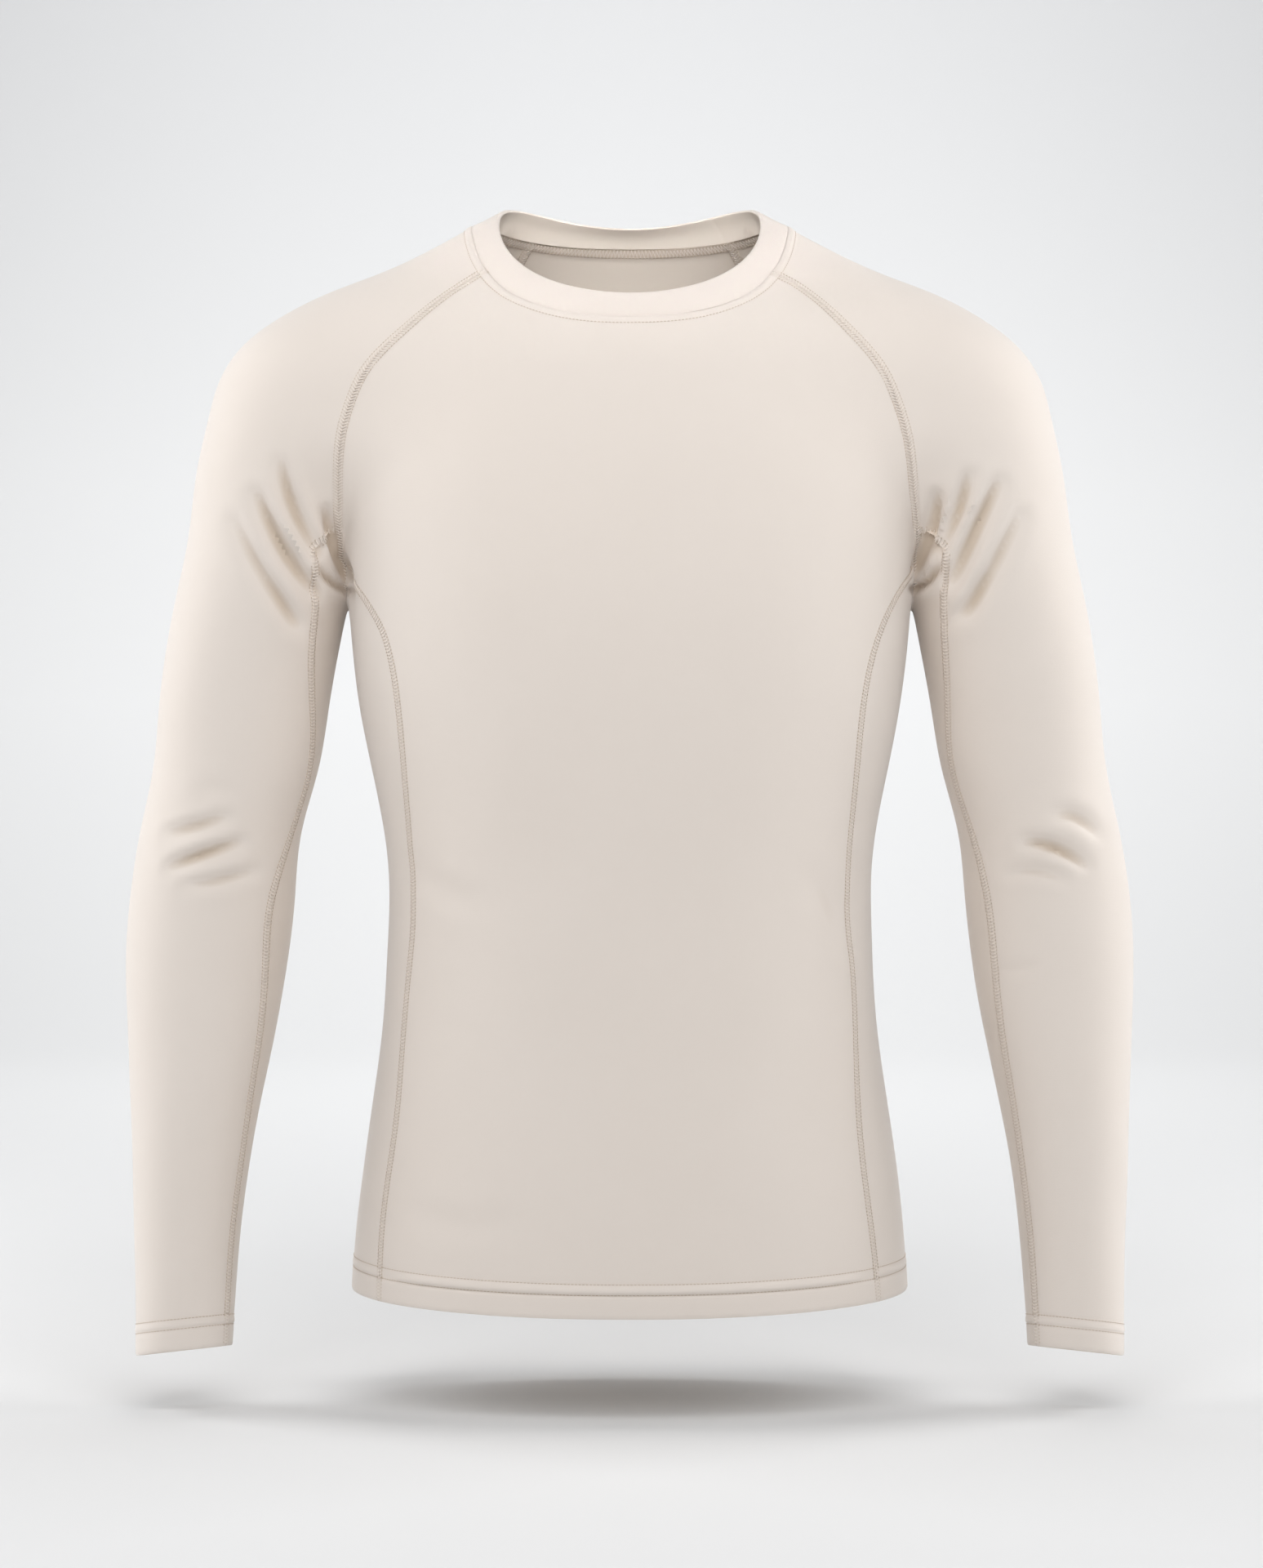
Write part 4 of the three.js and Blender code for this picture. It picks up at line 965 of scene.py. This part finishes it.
# Tubes with four sides and pointed ends along short centre lines: a ring is
# centre + r(cos t * side + sin t * up). Centres are (count, rings, 3), up is (count, 3).
def threadTubes(centres, up, radius):
    count, rings = centres.shape[:2]
    along = unit(np.gradient(centres, axis=1))
    side = unit(np.cross(along, up[:, None]))
    over = np.cross(side, along)
    angle = np.radians([45, 135, 225, 315])
    size = radius * np.where(np.isin(np.arange(rings), (0, rings - 1)), 0.6, 1)[:, None, None]
    ring = np.cos(angle)[:, None] * side[:, :, None] + np.sin(angle)[:, None] * over[:, :, None]
    ring = centres[:, :, None] + size * ring
    tips = centres[:, [0, -1]] + along[:, [0, -1]] * np.array([-1, 1])[:, None] * radius * 0.7
    each = rings * 4 + 2
    points = np.concatenate([ring.reshape(count, -1, 3), tips], 1)
    i, k = np.mgrid[0 : rings - 1, 0:4]
    at, following = i * 4 + k, i * 4 + (k + 1) % 4
    quads = np.stack([at, following, following + 4, at + 4], -1).reshape(-1, 4)
    k = np.arange(4)
    first = np.stack([(k + 1) % 4, k, np.full(4, rings * 4)], -1)
    last = np.stack([(rings - 1) * 4 + k, (rings - 1) * 4 + (k + 1) % 4, np.full(4, rings * 4 + 1)], -1)
    shift = (np.arange(count) * each)[:, None, None]
    corners = np.concatenate([first, last]) + shift
    return points.reshape(-1, 3), (quads + shift).reshape(-1, 4), corners.reshape(-1, 3)


def threadObject(name, bundles):
    points, faces, kinds, shift = [], [], [], 0
    for centres, up, radius, kind in bundles:
        p, quads, corners = threadTubes(centres, up, radius)
        points.append(p)
        faces += (quads + shift).tolist() + (corners + shift).tolist()
        kinds.append(np.full(len(quads) + len(corners), kind))
        shift += len(p)
    made = meshObject(name, np.concatenate(points), faces, coverThread)
    made.data.materials.append(needleShadeThread)
    made.data.polygons.foreach_set("material_index", np.concatenate(kinds).astype(np.int32))
    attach(made, "root")
    print(name, len(made.data.polygons), "faces")


# Places along a line, at even steps, with the direction along it and the way out of the cloth
def placesAlong(line, pitch):
    length = runOf(line)[-1]
    count = max(int(length / pitch), 2)
    at = (np.arange(count) + 0.5) / count
    p = divided(line, at)
    tangent = unit(divided(line, np.minimum(at + 0.004, 1)) - divided(line, np.maximum(at - 0.004, 0)))
    return p, tangent


def surfaceFrame(line, pitch):
    p, tangent = placesAlong(line, pitch)
    p = settle(p, form, 3)
    out = unit(slopeOf(form, p))
    return p - out * drapeDepth(p)[:, None], tangent, unit(np.cross(out, tangent)), out


# Centre lines from places and offsets, which are (rings, 3): along, across and out of the cloth
def strand(p, axes, offsets):
    offsets = np.asarray(offsets)
    return p[:, None] + sum(offsets[:, k][None, :, None] * axes[k][:, None] for k in range(3))


# The flat seam: cover threads across it in a V, and a needle row on each side, outside or inside
def flatSeam(line, kind, inner=False):
    style = sewing[kind]
    p, tangent, side, out = surfaceFrame(line, style["pitch"])
    if inner:
        p, out = p - out * (relief["wall"] + 0.25), -out
    axes = (tangent, side * np.sign(out[:, 1].mean() + 1e-6), out)
    half, lean = style["half"], style["lean"]
    offsets = [
        (-lean, -half, 0.12), (-0.2 * lean, -0.55 * half, 0.5), (lean, 0, 0.36),
        (-0.2 * lean, 0.55 * half, 0.5), (-lean, half, 0.12),
    ]
    bundles = [(strand(p, axes, offsets), out, style["radius"], 0)]
    n = sewing["needleHalf"]
    for b in style["needles"]:
        stitches = strand(p, axes, [(-n, b, 0.0), (0, b, 0.26), (n, b, 0.0)])
        bundles.append((stitches, out, sewing["needleRadius"], 1))
    return bundles


# A line on a panel's outer or inner face, at a distance from its top or bottom edge
def panelLine(panel, edge, distance, face="outer"):
    run = panel["down"] if edge == "top" else panel["up"]
    points = panel[face]
    if edge == "bottom":
        run, points = run[::-1], points[::-1]
    i = np.clip((run < distance).sum(0) - 1, 0, len(run) - 2)
    k = np.arange(run.shape[1])
    share = ((distance - run[i, k]) / (run[i + 1, k] - run[i, k]))[:, None]
    return points[i, k] * (1 - share) + points[i + 1, k] * share


# A row of short stitches along a line, with their middles lifted out of the cloth
def needleRow(line, out, pitch, lift=0.1):
    p, tangent = placesAlong(line, pitch)
    side = unit(np.cross(out(p), tangent))
    up = unit(np.cross(tangent, side))
    n = 0.36 * pitch
    offsets = [(-n, 0, lift - 0.15), (0, 0, lift + 0.12), (n, 0, lift - 0.15)]
    return strand(p, (tangent, side, up), offsets), up, sewing["rowRadius"], 1


# Zigzag threads between two lines along the same edge
def zigzag(upper, lower, out, pitch, radius, lift=0.12):
    count = int(runOf(upper)[-1] / pitch)
    at = np.arange(count + 1)
    first, second = divided(upper, (at + 0.2) / (count + 1.4)), divided(lower, (at + 0.7) / (count + 1.4))
    up = out((first + second) / 2)
    first, second = first + up * lift, second + up * lift
    down = np.stack([first, (first + second) / 2 + up * 0.1, second], 1)
    back = np.stack([second[:-1], (second[:-1] + first[1:]) / 2 + up[:-1] * 0.1, first[1:]], 1)
    return [(down, up, radius, 0), (back, up[:-1], radius, 0)]


outward = lambda p: unit(slopeOf(form, p))
inward = lambda p: -unit(slopeOf(form, p))

raglanThreads, sideThreads, sleeveThreads, innerThreads = [], [], [], []
for side in ("right", "left"):
    for name in ("front", "back"):
        line = seams[side][name]
        raglanThreads += flatSeam(line["yoke"], "raglan")
        innerThreads += flatSeam(line["yoke"], "raglan", inner=True)
        sideThreads += flatSeam(panels["side_" + side]["grid"][:-2, 0 if name == "front" else -1], "side")
        under = underEdge(line, sleeveLevels(weave["besideJoin"])[:-2])
        under[0] = line["gusset"][0]
        sleeveThreads += flatSeam(under, "sleeve")
    raglanThreads += flatSeam(seams[side]["underarm"], "raglan")
threadObject("raglan_stitching", raglanThreads)
threadObject("side_stitching", sideThreads)
threadObject("sleeve_stitching", sleeveThreads)

hemThreads, neckThreads = [], []
for name, panel in panels.items():
    rows = cuffRows if "sleeve" in name else hemRows
    for distance in rows:
        hemThreads.append(needleRow(panelLine(panel, "bottom", distance), outward, sewing["stitchPitch"]))
    lower, upper = (panelLine(panel, "bottom", distance, "inner") for distance in rows)
    innerThreads += zigzag(upper, lower, inward, sewing["hemPitch"], sewing["coverRadius"])
    if not name.startswith(("side", "under")):
        neckLine = panelLine(panel, "top", relief["neckStitch"])
        neckThreads.append(needleRow(neckLine, outward, sewing["stitchPitch"]))
        upper, lower = (panelLine(panel, "top", sewing[key], "inner") for key in ("coverTop", "coverLow"))
        innerThreads += zigzag(upper, lower, inward, sewing["coverPitch"], sewing["coverRadius"])
        for row in (upper, lower):
            innerThreads.append(needleRow(row, inward, sewing["stitchPitch"], 0.16))
threadObject("hem_stitching", hemThreads)
threadObject("neck_stitching", neckThreads)
threadObject("inside_stitching", innerThreads)
print("sewing made")


studio = {
    "cameraAt": (0.001, -2.4, -0.347), "lens": 88.24, "floorHeight": -0.73,
    # The wall's top colour is painted shade: the backdrop darkens towards its top as the light falls off
    "floor": (0.78, 0.785, 0.79), "wall": (0.88, 0.885, 0.89), "wallTopShade": (0.77, 0.775, 0.785),
    "wallFrom": -0.2, "topFrom": 0.2, "topTo": 1.4, "air": 0.045,
    "width": 18, "front": -6.0, "curveStart": 3.0, "curveRadius": 2.5, "height": 9.0,
    # each light: where it is, what it looks at, its size in metres, its watts and its spread in degrees
    "lights": {
        "front_softbox": ((0, -1.7, 0.5), (0, 0, -0.1), (1.8, 0.7), 11.6, 180),
        "high_softbox": ((0, -1.05, 0.8), (0, 0, -0.2), (1.6, 0.6), 11.5, 180),
        "neck_softbox": ((0, -1.15, 0.3), (0, 0.09, 0.015), (0.16, 0.06), 0.055, 15),
        "left_softbox": ((-1.7, -0.25, 0.1), (-0.25, 0, -0.3), (0.8, 1.8), 8.5, 180),
        "right_softbox": ((1.7, -0.25, 0.1), (0.25, 0, -0.3), (0.8, 1.8), 8.5, 180),
        "left_back_softbox": ((-1.7, 0.55, 0.2), (-0.25, 0, -0.35), (0.8, 2.0), 19, 180),
        "right_back_softbox": ((1.7, 0.55, 0.2), (0.25, 0, -0.35), (0.8, 2.0), 19, 180),
        "wall_softbox": ((0, 1.9, 2.4), (0, 5.4, -0.3), (2.2, 1.2), 126, 180),
    },
}


# The floor and backdrop: one sheet that goes back, curves up and rises, the same all along X
def makeStage():
    turn = np.linspace(0, np.pi / 2, 24)
    start, radius = studio["curveStart"], studio["curveRadius"]
    curve = np.stack([start + radius * np.sin(turn), radius * (1 - np.cos(turn))], -1)
    profile = np.concatenate([[[studio["front"], 0.0]], curve, [[start + radius, studio["height"]]]])
    x = np.array([-0.5, 0.5]) * studio["width"]
    grid = np.broadcast_arrays(x[:, None], profile[:, 0], profile[:, 1] + studio["floorHeight"])
    faces = gridFaces(2, len(profile))[:, ::-1]
    material, tree, shader = newMaterial("paperSweep")
    place = addNode(tree, "ShaderNodeTexCoord").outputs["Object"]
    height = addNode(tree, "ShaderNodeSeparateXYZ", {0: place}).outputs[2]
    low = ranged(tree, height, studio["floorHeight"], studio["wallFrom"])
    # Towards the top of the wall the colour darkens: painted shade for the light falling off higher up
    high = ranged(tree, height, studio["topFrom"], studio["topTo"])
    tone = mixed(tree, high, mixed(tree, low, studio["floor"], studio["wall"]), studio["wallTopShade"])
    tree.links.new(tone, shader.inputs["Base Color"])
    shader.inputs["Roughness"].default_value = 0.9
    meshObject("paper_sweep", np.stack(grid, -1).reshape(-1, 3) * 1000, faces, material)


def areaLight(name, place, target, size, power, spread):
    data = bpy.data.lights.new(name, "AREA")
    data.shape, data.size, data.size_y, data.energy = "RECTANGLE", size[0], size[1], power
    data.spread = math.radians(spread)
    light = linked(name, data)
    light.location = place
    away = np.array(place) - np.array(target)
    tip = math.atan2(math.hypot(away[0], away[1]), away[2])
    light.rotation_euler = (tip, 0, math.atan2(away[0], -away[1]))


makeStage()
for name, settings in studio["lights"].items():
    areaLight(name, *settings)
air = bpy.data.worlds.new("studioAir")
bpy.context.scene.world = air
air.use_nodes = True
air.node_tree.nodes["Background"].inputs[0].default_value = (0.98, 0.99, 1.0, 1)
air.node_tree.nodes["Background"].inputs[1].default_value = studio["air"]

camera = linked("studio_camera", bpy.data.cameras.new("studio_camera"))
camera.location = studio["cameraAt"]
camera.rotation_euler = (math.pi / 2, 0, 0)
camera.data.sensor_fit = "VERTICAL"
camera.data.sensor_height = 36
camera.data.lens = studio["lens"]
camera.data.clip_end = 50
bpy.context.scene.camera = camera
bpy.context.scene.view_settings.view_transform = "Standard"
print("studio set")
